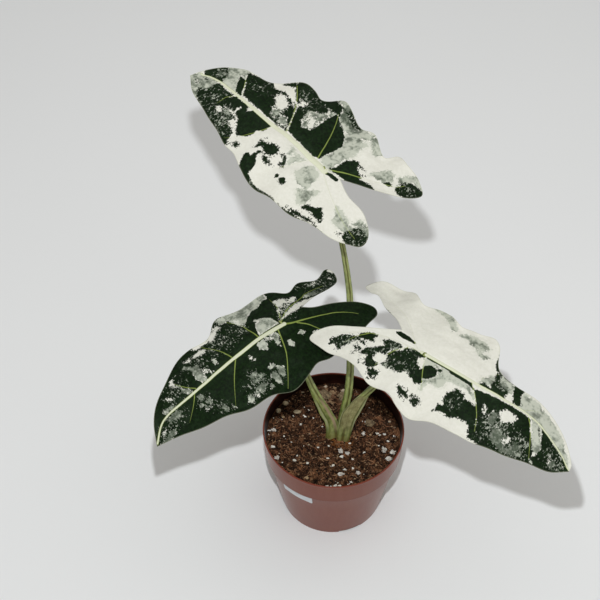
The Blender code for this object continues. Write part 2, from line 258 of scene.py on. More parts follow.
def plastic_paint(start):
    place = start.place()
    height = place.part(2)
    flat = place.stretch(1, 1, 0)
    across = flat.node("VectorMath", {"operation": "LENGTH"}, {0: flat}, 1)
    tapered = height * ((wall_top_radius - base_radius) / collar_bottom) + base_radius
    stepped = (height - collar_bottom) * (collar_draft / collar_height) + collar_bottom_radius
    in_collar = height.mask(collar_bottom - pot_wall, collar_bottom)
    outer = tapered + (stepped - tapered) * in_collar
    inside = 1 - (across - outer + pot_wall).mask(pot_wall * 0.2, pot_wall * 0.8)
    below_rim = 1 - height.mask(pot_height - 1.5 * MM, pot_height - 0.2 * MM)
    above_foot = height.mask(0.2 * MM, 3 * MM)
    cloud = place.grain(38, 4, 0.6)
    streaks = place.stretch(1, 1, 0.12).grain(240, 3, 0.6)
    scuffs = place.stretch(1, 1, 3).grain(900, 2, 0.7).mask(0.62, 0.72)
    skin = (cloud * 0.6 + streaks * 0.5).mask(0.35, 0.85).pick(plastic_colour, plastic_scuffed)
    skin = (scuffs * 0.25).pick(skin, plastic_scuffed)
    skin = above_foot.pick(plastic_edge, skin)
    # Painted shade: the inner wall takes the near-black colour of the shade inside the pot.
    skin = inside.pick(skin, painted_inner_wall_shade)
    skin = below_rim.pick(plastic_edge, skin)
    orange_peel = place.grain(1400, 2, 0.5) * 0.5 + streaks * 0.5
    return {"Base Color": skin, "Roughness": 0.30 + cloud * 0.12 + scuffs * 0.08,
            "Specular IOR Level": 0.35, "Sheen Weight": 0.16, "Sheen Roughness": 0.25,
            "Normal": orange_peel.bump(0.06 * MM)}


plastic = finish("moulded_plastic", plastic_paint)
recess_radius = base_radius - foot_width
pot_profile = rounded([
    (0, 0, 0), (centre_pad_radius, 0, lip_rounding),
    (centre_pad_radius, foot_height, lip_rounding), (recess_radius, foot_height, lip_rounding),
    (recess_radius, 0, lip_rounding), (base_radius, 0, lip_rounding),
    (wall_radius(notch_height * 1.15), notch_height * 1.15, 0),
    (wall_radius(collar_bottom / 3), collar_bottom / 3, 0),
    (wall_radius(collar_bottom * 2 / 3), collar_bottom * 2 / 3, 0),
    (wall_top_radius, collar_bottom - pot_wall, step_rounding),
    (collar_bottom_radius, collar_bottom, step_rounding),
    (rim_radius - lip_rounding, pot_height - pot_wall * 1.6, lip_rounding),
    (rim_radius, pot_height - pot_wall * 1.3, lip_rounding),
    (rim_radius, pot_height, lip_rounding), (rim_radius - pot_wall, pot_height, lip_rounding),
    (collar_bottom_radius - pot_wall, collar_bottom + pot_wall, step_rounding),
    (wall_top_radius - pot_wall, collar_bottom, step_rounding),
    (wall_radius(floor_top) - pot_wall, floor_top, step_rounding), (0, floor_top, 0),
])
pot_shell = body("moulded_pot", *turned(pot_profile, pot_segments), plastic)
cutters = []
for k in range(openings_round):
    turn = drain_turn + 2 * math.pi * k / openings_round
    hole = [(0, -foot_height), (drain_hole_radius, -foot_height),
            (drain_hole_radius, 2 * floor_top), (0, 2 * floor_top)]
    cutter = body("drain_cutter", *turned(hole, 32), plastic)
    cutter.location = (drain_hole_circle * math.cos(turn), drain_hole_circle * math.sin(turn), 0)
    cutter.rotation_euler.z = turn / 3
    cutters.append(cutter)
    corners = [(r, s * notch_width / 2, z) for r in (recess_radius / 1.05, base_radius * 1.1)
               for s in (-1, 1) for z in (-notch_height, notch_height)]
    sides = [(0, 1, 3, 2), (4, 5, 7, 6), (0, 1, 5, 4), (2, 3, 7, 6), (0, 2, 6, 4), (1, 3, 7, 5)]
    cutter = body("notch_cutter", corners, sides, plastic)
    cutter.rotation_euler.z = notch_turn + 2 * math.pi * k / openings_round
    cutters.append(cutter)
bpy.context.view_layer.update()
carved(pot_shell, cutters)
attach(pot_shell, "root")
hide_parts("pot")

# ---- The sticker --------------------------------------------------------------------------
# A blank strip of white paper, stuck on the tapered wall just under the collar. Its corners
# are die cut round, and it lies a hair off the plastic on its glue.

label_low, label_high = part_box("label")
label_bottom = label_low.z
label_height = label_high.z - label_low.z
label_start = math.radians(-138.5)
label_end = math.radians(-109)
label_thickness = 0.3 * MM
label_corner = 1.2 * MM
label_spacing = 1.0 * MM
label_wrinkle = 0.05 * MM
label_wrinkle_scale = 300


def cut_sheet(outline, inside):
    """A flat sheet's points and triangles, from its outline and the points inside it."""
    flat = [Vector(p) for p in outline] + [Vector(p) for p in inside]
    loop = [list(range(len(outline)))]
    points, _, triangles, _, _, _ = delaunay_2d_cdt(flat, [], loop, 1, 1e-7)
    return np.array([tuple(p) for p in points]), [tuple(t) for t in triangles]


def two_faced(name, upper, lower, triangles, materials, crease=50):
    """A closed thin sheet between an upper and a lower face with the same triangles."""
    count = len(upper)
    faces = list(triangles) + [tuple(i + count for i in reversed(t)) for t in triangles]
    directed = {(t[k], t[(k + 1) % 3]) for t in triangles for k in range(3)}
    faces += [(b, a, a + count, b + count) for a, b in sorted(directed)
              if (b, a) not in directed]
    mesh = bpy.data.meshes.new(name)
    mesh.from_pydata(np.vstack([upper, lower]).tolist(), [], faces)
    mesh.shade_smooth()
    mesh.set_sharp_from_angle(angle=math.radians(crease))
    for material in materials:
        mesh.materials.append(material)
    if len(materials) > 1:
        slots = np.zeros(len(faces), dtype=np.int32)
        slots[len(triangles):2 * len(triangles)] = 1
        mesh.polygons.foreach_set("material_index", slots)
    piece = bpy.data.objects.new(name, mesh)
    bpy.context.scene.collection.objects.link(piece)
    return piece


def paper_paint(start):
    place = start.place()
    fibre = place.grain(1800, 4, 0.7)
    faded = place.grain(120, 3, 0.6)
    tone = (fibre * 0.5 + faded * 0.5).mask(0.3, 0.75)
    return {"Base Color": tone.pick((0.60, 0.63, 0.67, 1), (0.80, 0.82, 0.84, 1)),
            "Roughness": 0.45 + fibre * 0.2, "Normal": fibre.bump(0.03 * MM)}


strip_length = wall_radius(label_bottom) * (label_end - label_start)
strip_outline = []
for x_side, y_side, first in ((1, 1, 0), (0, 1, 90), (0, 0, 180), (1, 0, 270)):
    for angle in range(first, first + 91, 30):
        centre_x = label_corner + x_side * (strip_length - 2 * label_corner)
        centre_y = label_corner + y_side * (label_height - 2 * label_corner)
        strip_outline.append((centre_x + label_corner * math.cos(math.radians(angle)),
                              centre_y + label_corner * math.sin(math.radians(angle))))
strip_inside = [(x, y) for x in np.arange(label_spacing, strip_length, label_spacing)
                for y in np.arange(label_spacing, label_height - label_spacing / 2, label_spacing)]
strip_points, strip_triangles = cut_sheet(strip_outline, strip_inside)


def on_wall(flat, stand_off):
    """Points of the flat strip bent round the pot's wall, so far off it."""
    bent = []
    for x, y in flat:
        angle = label_start + (label_end - label_start) * x / strip_length
        crinkle = label_wrinkle * noise.noise(Vector((x, y, 0)) * label_wrinkle_scale)
        radius = wall_radius(label_bottom + y) + stand_off + crinkle
        bent.append((radius * math.cos(angle), radius * math.sin(angle), label_bottom + y))
    return np.array(bent)


sticker = two_faced("blank_sticker", on_wall(strip_points, gap + label_thickness),
                    on_wall(strip_points, gap), strip_triangles, [finish("paper", paper_paint)])
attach(sticker, "root")
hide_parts("label")

# ---- The potting mix ----------------------------------------------------------------------
# Coir and peat, filled loose and banked up a little towards the wall. Its surface is rough
# with crumbs, matted fibres and fine bark, and its foot rests on the pot's floor.

soil_drop = 18.5 * MM
soil_mound = 1.5 * MM
soil_unevenness = 0.8 * MM
soil_bank = 6.0 * MM
soil_bank_start = 18 * MM
soil_bank_width = 30 * MM
soil_spacing = 1.05 * MM
soil_clods = 1.8 * MM
soil_crumble = 1.3 * MM
soil_level = pot_height - soil_drop
mix_radius = collar_bottom_radius - pot_wall - gap
mix_foot_radius = wall_radius(floor_top) - pot_wall - gap
mix_neck_radius = wall_top_radius - pot_wall - gap

mix_dark = (0.0085, 0.0042, 0.0026, 1)
mix_brown = (0.245, 0.108, 0.052, 1)
mix_russet = (0.40, 0.195, 0.100, 1)
crown_stain = (0.30, 0.105, 0.022, 1)


def mix_level(x, y):
    """Height of the mix without its crumbs: a soft mound, banked up towards the wall."""
    reach = 1 - (math.hypot(x, y) / rim_radius) ** 2
    waves = math.sin(x * 130 + 1.0) * math.cos(y * 110 + 0.4)
    share = min(max((math.hypot(x, y) - soil_bank_start) / soil_bank_width, 0), 1)
    bank = soil_bank * share * share * (3 - 2 * share)
    return soil_level + soil_mound * reach + soil_unevenness * waves + bank


def mix_surface(x, y):
    """Height of the mix with its clods and crumbs."""
    clods = noise.fractal(Vector((x, y, 0)) * 120, 0.7, 2.1, 3)
    crumbs = abs(noise.noise(Vector((x, y, 0.3)) * 520)) - 0.25
    return mix_level(x, y) + soil_clods * 0.5 * clods + soil_crumble * crumbs


def hexagonal(low, high, spacing, jitter, seed):
    """Points of a hexagonal grid over a rectangle, each moved a little at random."""
    steps_x = np.arange(low[0], high[0], spacing)
    steps_y = np.arange(low[1], high[1], spacing * math.sqrt(3) / 2)
    x, y = np.meshgrid(steps_x, steps_y)
    x = x + (np.arange(len(steps_y)) % 2 * spacing / 2)[:, None]
    chance = np.random.default_rng(seed)
    points = np.stack([x.ravel(), y.ravel()], 1)
    return points + chance.uniform(-jitter, jitter, points.shape) * spacing


def hold(piece, name, values):
    """Keeps one value at each point of a piece, for its paint."""
    piece.data.attributes.new(name, "FLOAT", "POINT").data.foreach_set("value", values)


def mix_paint(start):
    place = start.place()
    clods = place.grain(150, 5, 0.65)
    fibres = place.stretch(1, 0.35, 1).grain(900, 4, 0.7)
    cross = place.stretch(0.35, 1, 1).grain(800, 4, 0.7)
    fine = place.grain(2200, 2, 0.6)
    lift = start.held("lift")
    tone = (clods * 0.7 + fibres * 0.5 + cross * 0.3 - 0.25).mask(0.36, 0.68)
    # Painted shade: where the surface dips below the mix's level the colour goes near black, as shade
    # in the hollows; the russet fibre colour keeps to the raised parts.
    skin = (tone * (lift.mask(-0.9, 0.5) * 0.9 + 0.1)).pick(mix_dark, mix_brown)
    skin = (fibres.mask(0.54, 0.62) * lift.mask(-0.5, 0.6) * 0.85).pick(skin, mix_russet)
    skin = (fine.mask(0.69, 0.74) * clods.mask(0.45, 0.6)).pick(skin, (0.33, 0.27, 0.20, 1))
    from_crown = place.node("VectorMath", {"operation": "DISTANCE"},
                            {0: place, 1: (7 * MM, -2 * MM, soil_level)}, 1)
    stain = 1 - (from_crown + (clods - 0.5) * 0.012).mask(6 * MM, 13 * MM)
    skin = (stain * 0.40).pick(skin, crown_stain)
    # Painted shade: the mix darkens towards the back, where the leaves cast their shadow on it.
    painted_rear_shade = (place.part(1) + (clods - 0.5) * 0.02).mask(6 * MM, 34 * MM)
    skin = (painted_rear_shade * 0.45).pick(skin, mix_dark)
    height = clods * 0.5 + fibres * 0.3 + cross * 0.2
    return {"Base Color": skin, "Roughness": 0.86 + fine * 0.12, "Specular IOR Level": 0.1,
            "Normal": height.bump(1.1 * MM, 0.9)}


edge_count = int(2 * math.pi * mix_radius / soil_spacing)
soil_edge = [(mix_radius * math.cos(2 * math.pi * k / edge_count),
              mix_radius * math.sin(2 * math.pi * k / edge_count)) for k in range(edge_count)]
soil_inside = hexagonal((-mix_radius, -mix_radius), (mix_radius, mix_radius), soil_spacing, 0.2, 3)
soil_inside = soil_inside[np.hypot(*soil_inside.T) < mix_radius - soil_spacing * 0.6]
soil_flat, soil_triangles = cut_sheet(soil_edge, soil_inside)
soil_upper = np.array([(x, y, mix_surface(x, y)) for x, y in soil_flat])
soil_reach = np.hypot(*soil_flat.T)
soil_under = np.interp(soil_reach, [0, mix_foot_radius, mix_neck_radius, mix_neck_radius + gap],
                       [floor_top + gap, floor_top + gap, collar_bottom - gap,
                        collar_bottom + pot_wall + step_rounding])
soil_piece = two_faced("crumbly_mix", soil_upper, np.column_stack([soil_flat, soil_under]),
                       soil_triangles, [finish("coir_mix", mix_paint)])
lifts = [(z - mix_level(x, y)) / MM for x, y, z in soil_upper] + [0.0] * len(soil_flat)
hold(soil_piece, "lift", lifts)
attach(soil_piece, "root")
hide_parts("soil")

# ---- Fibres and crumbs on the mix ---------------------------------------------------------
# Curled coir fibres, from dark brown to straw, lie matted on the surface. Between them are
# bark crumbs and small white grains of perlite that the watering has washed up.

fibre_count = 1050
fibre_steps = 8
fibre_margin = 1.2 * MM
crumb_count = 2400
fibre_colours = [(0.0, (0.008, 0.004, 0.003, 1)), (0.38, (0.050, 0.022, 0.012, 1)),
                 (0.75, (0.26, 0.115, 0.060, 1)), (1.0, (0.46, 0.30, 0.17, 1))]
crumb_colours = [(0.0, (0.008, 0.004, 0.003, 1)), (0.42, (0.040, 0.020, 0.012, 1)),
                 (0.62, (0.20, 0.105, 0.060, 1)), (0.80, (0.38, 0.26, 0.15, 1)),
                 (0.86, (0.62, 0.57, 0.50, 1)), (1.0, (0.95, 0.93, 0.88, 1))]
# Chips and stones heaped behind the stems
pile_count = 70
pile_middle = (0 * MM, 43 * MM)
# The bigger white grains, and the tan chips: place and half size, in millimetres
white_grains = [(-54, 6, 0.8), (-55, 2, 0.6), (-42, 0, 0.7), (-24, 22, 0.9), (-17, 22, 0.6),
                (-9, 14, 0.6), (-25, 31, 0.6), (-21, 29, 0.5), (-34, 22, 0.5), (-52, -11, 1.1),
                (-36, -6, 0.6), (-31, -19, 0.7), (-33, -25, 1.2), (-22, -27, 0.8), (-13, -8, 0.6),
                (-4, -7, 0.7), (-5, -20, 0.9), (-1, -27, 0.9), (7, -18, 1.0), (14, -4, 1.0),
                (16, -21, 0.8), (26, -15, 0.9), (16, -32, 0.8), (9, -33, 0.9), (38, 4, 1.0),
                (40, 2, 0.7), (44, 1, 1.0), (52, 0, 0.7), (47, -6, 0.8), (39, -9, 0.6),
                (29, 17, 0.8), (19, 21, 0.6), (-6, -51, 1.0), (-3, -52, 0.7), (1, -51, 1.2),
                (4, -51, 0.8), (12, -49, 0.7), (14, -47, 0.8), (-28, 14, 0.8)]
tan_chips = [(29, -43, 0.8), (-23, -43, 1.6), (53, 9, 1.0), (49, 16, 1.1), (47, 27, 0.8),
             (42, 26, 0.8), (31, 35, 0.7), (15, 13, 0.8), (32, 4, 1.0), (-20, 6, 0.7),
             (-26, 48, 1.1), (-43, 21, 1.2), (-46, -18, 0.8), (-21, -5, 0.8), (20, 1, 0.7)]


def tube_faces(rings, sides):
    """Faces of a tube of rings with so many points each, closed at both ends."""
    last = (rings - 1) * sides
    faces = [tuple(range(sides)), tuple(range(last, last + sides))]
    for first in range(0, last, sides):
        for side in range(sides):
            following = (side + 1) % sides
            faces.append((first + side, first + following,
                          first + sides + following, first + sides + side))
    return faces


def strand(line, radii, sides=3):
    """Points and faces of a thin round strand along a line, open at neither end."""
    line = [Vector(p) for p in line]
    points = []
    for k, centre in enumerate(line):
        along = (line[min(k + 1, len(line) - 1)] - line[max(k - 1, 0)]).normalized()
        across = along.cross(Vector((0.13, 0.21, 1))).normalized()
        out = across.cross(along)
        for side in range(sides):
            angle = 2 * math.pi * side / sides
            points.append(centre + (across * math.cos(angle) + out * math.sin(angle)) * radii[k])
    return points, tube_faces(len(line), sides)


def heap(name, shapes, material, crease=60):
    """Many small bodies in one mesh; each one's points hold its own tint."""
    points, faces, tints = [], [], []
    for shape_points, shape_faces, tint in shapes:
        first = len(points)
        points += shape_points
        faces += [tuple(first + i for i in face) for face in shape_faces]
        tints += [tint] * len(shape_points)
    piece = body(name, points, faces, material, crease)
    hold(piece, "tint", tints)
    return piece


def lump(centre, halves, subdivisions, roughness, seed):
    """Points and faces of a craggy ball round its centre, with those half sizes."""
    work = bmesh.new()
    bmesh.ops.create_icosphere(work, subdivisions=subdivisions, radius=1.0)
    faces = [tuple(v.index for v in f.verts) for f in work.faces]
    points = []
    for v in work.verts:
        swell = 1 + roughness * noise.fractal(v.co * 1.7 + Vector((seed, seed * 0.7, 0)), 0.6, 2.2, 3)
        points.append(Vector(centre) + Vector([c * h for c, h in zip(v.co * swell, halves)]))
    work.free()
    return points, faces


def tinted_paint(stops, scale, depth):
    """Paints a heap: each body has its own colour of the ramp, with finer grain on it."""
    def paint(start):
        place = start.place()
        grain = place.grain(scale, 3, 0.7)
        shade = start.held("tint") + (grain - 0.5) * 0.12
        return {"Base Color": shade.node("ValToRGB", {"stops": stops}, {0: shade}),
                "Roughness": 0.78 + grain * 0.2, "Specular IOR Level": 0.12,
                "Normal": grain.bump(depth, 0.8)}
    return paint


chance = np.random.default_rng(11)
fibres = []
for _ in range(fibre_count):
    reach = (mix_radius - 3 * MM) * math.sqrt(chance.uniform())
    turn = chance.uniform(0, 2 * math.pi)
    x, y = reach * math.cos(turn), reach * math.sin(turn)
    heading = chance.uniform(0, 2 * math.pi)
    curl = chance.normal(0, 0.22)
    step = chance.uniform(0.4, 1.25) * MM
    thickness = chance.uniform(0.16, 0.42) * MM
    lift = chance.uniform(0.0, 0.9) * MM
    tint = chance.uniform() ** 1.3 * 0.9
    line = []
    for k in range(fibre_steps):
        if math.hypot(x, y) < mix_radius - fibre_margin:
            arc = math.sin(math.pi * k / (fibre_steps - 1)) * lift
            line.append((x, y, mix_surface(x, y) + thickness + arc))
        x += step * math.cos(heading)
        y += step * math.sin(heading)
        heading += curl
    if len(line) > 3:
        radii = [thickness * (0.45 + 0.55 * math.sin(math.pi * (k + 0.6) / (len(line) + 0.2)))
                 for k in range(len(line))]
        fibres.append((*strand(line, radii), tint))
fibre_mat = heap("coir_fibres", fibres,
                 finish("coir_fibre", tinted_paint(fibre_colours, 1500, 0.2 * MM)))
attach(fibre_mat, "root")

crumbs = []
for k in range(crumb_count):
    reach = (mix_radius - 2 * MM) * math.sqrt(chance.uniform())
    turn = chance.uniform(0, 2 * math.pi)
    x, y = reach * math.cos(turn), reach * math.sin(turn)
    size = chance.uniform(0.35, 1.05) * MM
    white = chance.uniform() < 0.018
    size = size * chance.uniform(0.5, 0.9) if white else size
    tint = chance.uniform(0.84, 1.0) if white else chance.uniform(0.0, 0.78)
    halves = (size, size * chance.uniform(0.6, 1.0), size * chance.uniform(0.5, 0.9))
    spot = (x, y, mix_surface(x, y) + halves[2] * 0.5)
    crumbs.append((*lump(spot, halves, 1, 0.5, k), tint))
for k in range(pile_count):
    x, y = pile_middle[0] + chance.normal(0, 7 * MM), pile_middle[1] + chance.normal(0, 6 * MM)
    if math.hypot(x, y) < mix_radius - 3 * MM:
        size = chance.uniform(0.8, 2.2) * MM
        halves = (size, size * chance.uniform(0.5, 0.9), size * chance.uniform(0.4, 0.7))
        spot = (x, y, mix_surface(x, y) + halves[2] * 0.6)
        crumbs.append((*lump(spot, halves, 2, 0.7, k * 1.7), chance.uniform(0.45, 0.83)))
for k, (x, y, half) in enumerate(white_grains):
    for shard in range(3):
        size = half * chance.uniform(0.9, 1.4) * MM
        place = [value * MM + chance.normal(0, half * 0.5) * MM for value in (x, y)]
        spot = (*place, mix_surface(*place) + size * 0.6)
        halves = (size, size * chance.uniform(0.5, 0.9), size * chance.uniform(0.5, 0.8))
        crumbs.append((*lump(spot, halves, 1, 0.9, k * 3.1 + shard), chance.uniform(0.88, 1.0)))
for k, (x, y, half) in enumerate(tan_chips):
    halves = (half * 1.2 * MM, half * chance.uniform(0.7, 1.1) * MM, half * 0.6 * MM)
    spot = (x * MM, y * MM, mix_surface(x * MM, y * MM) + halves[2] * 0.6)
    crumbs.append((*lump(spot, halves, 2, 0.5, k * 2.3), chance.uniform(0.76, 0.82)))
crumb_heap = heap("bark_and_perlite_crumbs", crumbs,
                  finish("crumb", tinted_paint(crumb_colours, 1100, 0.3 * MM)))
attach(crumb_heap, "root")

# ---- The corm and its roots ---------------------------------------------------------------
# The plant grows from a small corm, ringed like an onion with old leaf scars and rusty brown
# where it shows. The fleshy roots run from it through the mix, which hides them.

corm_low, corm_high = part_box("corm")
corm_middle = (corm_low + corm_high) / 2
corm_half = (corm_high - corm_low) / 2
corm_rings = 9
corm_ring_depth = 0.035


def corm_paint(start):
    place = start.place()
    husk = place.stretch(1, 1, 0.3).grain(900, 4, 0.7)
    rings = place.stretch(0.1, 0.1, 1).grain(700, 2, 0.5)
    tone = (husk * 0.6 + rings * 0.5).mask(0.35, 0.75)
    return {"Base Color": tone.pick((0.055, 0.018, 0.008, 1), (0.30, 0.10, 0.025, 1)),
            "Roughness": 0.62 + husk * 0.2, "Normal": (husk + rings).bump(0.35 * MM)}


def root_paint(start):
    place = start.place()
    skin = place.grain(500, 4, 0.6)
    return {"Base Color": skin.mask(0.3, 0.7).pick((0.50, 0.38, 0.24, 1), (0.75, 0.66, 0.50, 1)),
            "Roughness": 0.55 + skin * 0.2, "Normal": skin.bump(0.2 * MM)}


corm_profile = [(0, -corm_half.z)]
for k in range(1, 60):
    angle = math.pi * k / 60
    ring = 1 - corm_ring_depth * (0.5 - 0.5 * math.cos(2 * math.pi * corm_rings * k / 60))
    corm_profile.append((corm_half.x * ring * math.sin(angle), -corm_half.z * math.cos(angle)))
corm_profile.append((0, corm_half.z))
corm_points, corm_faces = turned(corm_profile, 48)
corm_piece = body("ringed_corm", [Vector(p) + corm_middle for p in corm_points], corm_faces,
                  finish("corm_husk", corm_paint))
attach(corm_piece, "root")
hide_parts("corm")
root_finish = finish("root_flesh", root_paint)
for number in range(1, 6):
    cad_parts[f"root_{number}"].data.materials[0] = root_finish

# ---- The stems ----------------------------------------------------------------------------
# Each leaf stands on its own fleshy stalk, green and finely ribbed, with a groove down its
# front. The two younger stalks open low down into pale sheaths that wrap the next one.

corm_centre = (5.5 * MM, 0.5 * MM)
stem_foot = -1.5 * MM
stem_clearance = 1.5 * MM
stem_sides = 40
stem_rib_count = 11
stem_rib_depth = 0.045
stem_groove = 0.30
stem_groove_width = 0.28
sheath_hollow = 0.45
crown = Vector((0, 0, mix_level(*corm_centre)))
# Points in millimetres from the crown; widths and depths are half sizes along the stalk.
# The trough says how far the front is hollowed, from 0, full, to 1, an open sheath, and the
# flesh how far its pale inside shows. A shift moves the section towards the right, and a turn
# moves the groove's place round it. A seam of 1 narrows the pale inside to one pinkish line.
stalks = {
    "top": {
        "turn": 0.03,
        "line": [(6, 10), (9, 11, 26), (12, 13, 50), (13, 18, 80), (11, 24, 118), (11, 29, 146),
                 (9, 32, 167), (6, 34, 189), (2, 37, 213), (-3, 39, 246), (-12, 40, 279)],
        "widths": [(0.0, 3.8), (0.12, 3.6), (0.30, 3.2), (0.70, 2.3), (1.0, 1.9)],
        "depths": [(0.0, 3.2), (0.12, 3.1), (0.30, 2.9), (0.70, 2.1), (1.0, 1.9)],
        "trough": [(0.0, 0.3), (0.35, 0.25), (0.6, 0.1), (1.0, 0.0)],
        "flesh": [(0.0, 0.2), (0.4, 0.3), (1.0, 0.1)],
        "seam": 0.0,
        "shift": [(0.0, 0.0), (1.0, 0.0)],
    },
    "left": {
        "turn": 0.07,
        "line": [(1, 2), (-2, 3, 18), (-8, 5, 33), (-20, 6, 71), (-31, 6, 109), (-38, 3, 133),
                 (-44, 0, 155)],
        "widths": [(0.0, 6.9), (0.05, 6.1), (0.12, 5.5), (0.22, 5.3), (0.34, 3.9), (0.48, 2.9),
                   (1.0, 1.9)],
        "depths": [(0.0, 3.0), (0.22, 2.6), (0.34, 2.5), (1.0, 1.9)],
        "trough": [(0.0, 0.2), (0.08, 0.6), (0.2, 0.95), (0.32, 0.6), (0.42, 0.1), (1.0, 0.0)],
        "flesh": [(0.0, 0.2), (0.12, 0.7), (0.2, 1.0), (0.34, 0.5), (0.42, 0.0), (1.0, 0.0)],
        "seam": 1.0,
        "shift": [(0.0, -0.9), (0.06, 0.1), (0.15, 0.9), (0.25, 0.6), (0.35, 0.0), (1.0, 0.0)],
    },
    "right": {
        "turn": -0.02,
        "line": [(9.4, -0.5), (12, -1, 20), (15, -2, 39), (22, -5, 63), (31, -11, 88),
                 (46, -26, 129), (56, -37, 154), (64, -45, 171)],
        "widths": [(0.0, 5.4), (0.10, 6.3), (0.22, 7.4), (0.32, 5.6), (0.40, 3.2), (1.0, 1.9)],
        "depths": [(0.0, 3.0), (0.22, 2.6), (0.40, 2.5), (1.0, 1.9)],
        "trough": [(0.0, 0.1), (0.1, 0.5), (0.22, 0.9), (0.32, 1.0), (0.38, 0.4), (0.46, 0.0),
                   (1.0, 0.0)],
        "flesh": [(0.0, 0.2), (0.15, 0.8), (0.3, 1.0), (0.38, 0.6), (0.44, 0.0), (1.0, 0.0)],
        "seam": 0.0,
        "shift": [(0.0, -1.3), (0.15, -1.6), (0.22, -1.0), (0.3, 0.0), (1.0, 0.0)],
    },
}


def smooth_line(points, steps):
    """A Catmull-Rom curve through the points, with so many steps between neighbours."""
    knots = [np.array(p, float) for p in points]
    knots = [2 * knots[0] - knots[1], *knots, 2 * knots[-1] - knots[-2]]
    line = []
    for a, b, c, d in zip(knots, knots[1:], knots[2:], knots[3:]):
        for step in range(steps):
            t = step / steps
            line.append(b + 0.5 * t * ((c - a) + t * ((2 * a - 5 * b + 4 * c - d)
                                                      + t * (3 * (b - c) + d - a))))
    line.append(knots[-2])
    return line


def stalk_points(stalk):
    """A stalk's own points, from the corm up to the blade's junction, in metres."""
    foot, *rest = stalk["line"]
    points = [crown + Vector((foot[0] * MM, foot[1] * MM, stem_foot))]
    return points + [crown + Vector(p) * MM for p in rest]


def stalk_paint(start):
    place = start.place()
    around = start.held("around")
    height = start.held("height")
    flesh = start.held("flesh")
    lines = around.node("CombineXYZ", {}, {"X": around * 9, "Y": height * 1.3})
    stripes = lines.grain(1.0, 3, 0.6)
    fine = lines.stretch(3, 1, 1).grain(1.4, 3, 0.6)
    blotch = place.grain(90, 3, 0.6)
    skin = stripes.mask(0.3, 0.7).pick((0.105, 0.150, 0.028, 1), (0.43, 0.48, 0.135, 1))
    skin = (fine.mask(0.5, 0.72) * 0.5).pick(skin, (0.58, 0.62, 0.28, 1))
    side = (around - 0.5).sum("ABSOLUTE", around - 0.5)
    open_part = flesh.mask(0.35, 0.8)
    # Painted highlight: a pale stripe on each side of the groove.
    ridge = side.mask(0.035, 0.06) * (1 - side.mask(0.10, 0.14)) * (1 - open_part)
    skin = (ridge * 0.45).pick(skin, (0.50, 0.54, 0.26, 1))
    groove = (1 - side.mask(0.015, 0.045)) * (1 - open_part * 0.6)
    skin = (groove * 0.75).pick(skin, (0.115, 0.090, 0.035, 1))
    # Painted shade: both sides of the stalk turn darker green, as shade where it turns away from the
    # light.
    painted_side_shade = side.mask(0.13, 0.24) * (1 - open_part)
    skin = (painted_side_shade * 0.60).pick(skin, (0.065, 0.100, 0.016, 1))
    seam = start.held("seam")
    tan = (fine * 0.6 + stripes * 0.5).mask(0.35, 0.75).pick((0.24, 0.21, 0.085, 1),
                                                            (0.52, 0.48, 0.25, 1))
    inner = open_part * (1 - side.mask(0.135, 0.16)) * (1 - seam * 0.75)
    skin = (inner * 0.85).pick(skin, tan)
    line = (1 - side.mask(0.025, 0.060)) * open_part * seam
    skin = (line * 0.85).pick(skin, (0.56, 0.40, 0.27, 1))
    # Painted shade: a dark line in the crease where the sheath folds over.
    fold = side.mask(0.11, 0.135) * (1 - side.mask(0.15, 0.175)) * open_part
    skin = (fold * 0.75).pick(skin, (0.085, 0.095, 0.025, 1))
    # Painted highlight: a pale line along the sheath's rims.
    rim_highlight = side.mask(0.16, 0.18) * (1 - side.mask(0.24, 0.28)) * open_part
    skin = (rim_highlight * 0.75).pick(skin, (0.50, 0.49, 0.29, 1))
    foot = 1 - height.mask(0.3, 1.4)
    skin = (foot * 0.50).pick(skin, (0.19, 0.13, 0.03, 1))
    relief = stripes * 0.6 + fine * 0.4
    return {"Base Color": skin, "Roughness": 0.36 + blotch * 0.16 + foot * 0.2,
            "Specular IOR Level": 0.4, "Normal": relief.bump(0.25 * MM, 0.7)}


stalk_finish = finish("stalk_skin", stalk_paint)
for side, stalk in stalks.items():
    *knots, junction = stalk_points(stalk)
    knots.append(junction - Vector((0, 0, stem_clearance)))
    line = [Vector(p) for p in smooth_line(knots, 14)]
    travelled = np.cumsum([0.0] + [(b - a).length for a, b in zip(line, line[1:])])
    shares = travelled / travelled[-1]
    widths, depths, troughs, fleshes, shifts = (
        np.interp(shares, *zip(*stalk[key]))
        for key in ("widths", "depths", "trough", "flesh", "shift"))
    points, heights, arounds, flesh_at = [], [], [], []
    for k, centre in enumerate(line):
        along = line[min(k + 1, len(line) - 1)] - line[max(k - 1, 0)]
        along = Vector((0, 0, 1)) if k == 0 else along.normalized()
        across = along.cross(Vector((0, -1, 0))).normalized()
        out = across.cross(along)
        for number in range(stem_sides):
            angle = 2 * math.pi * number / stem_sides - math.pi / 2
            ribs = 1 - stem_rib_depth * (0.5 + 0.5 * math.cos(stem_rib_count * angle))
            x = math.cos(angle) * ribs
            y = math.sin(angle) * ribs
            if y > 0:
                groove = stem_groove * math.exp(-(x / stem_groove_width) ** 2) * (1 - troughs[k])
                y *= 1 - troughs[k] - sheath_hollow * troughs[k] - groove
            sideways = (widths[k] * x + shifts[k]) * MM
            points.append(centre + across * sideways + out * (depths[k] * MM * y))
            heights.append(travelled[k] / (10 * MM))
            arounds.append(number / stem_sides + stalk["turn"])
            flesh_at.append(fleshes[k])
    faces = tube_faces(len(line), stem_sides)
    piece = body(f"stalk_{side}", points, faces, stalk_finish, 60)
    seams = [stalk["seam"]] * len(points)
    for name, values in (("height", heights), ("around", arounds), ("flesh", flesh_at),
                         ("seam", seams)):
        hold(piece, name, values)
    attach(piece, "root")
    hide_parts(f"stem_{side}")

# ---- The blades ---------------------------------------------------------------------------
# Three arrow-shaped blades, each a thin soft sheet on a thick pale midrib, with side veins
# sunk between low quilted bulges. The tissue is cream, mint or nearly black, in patches.

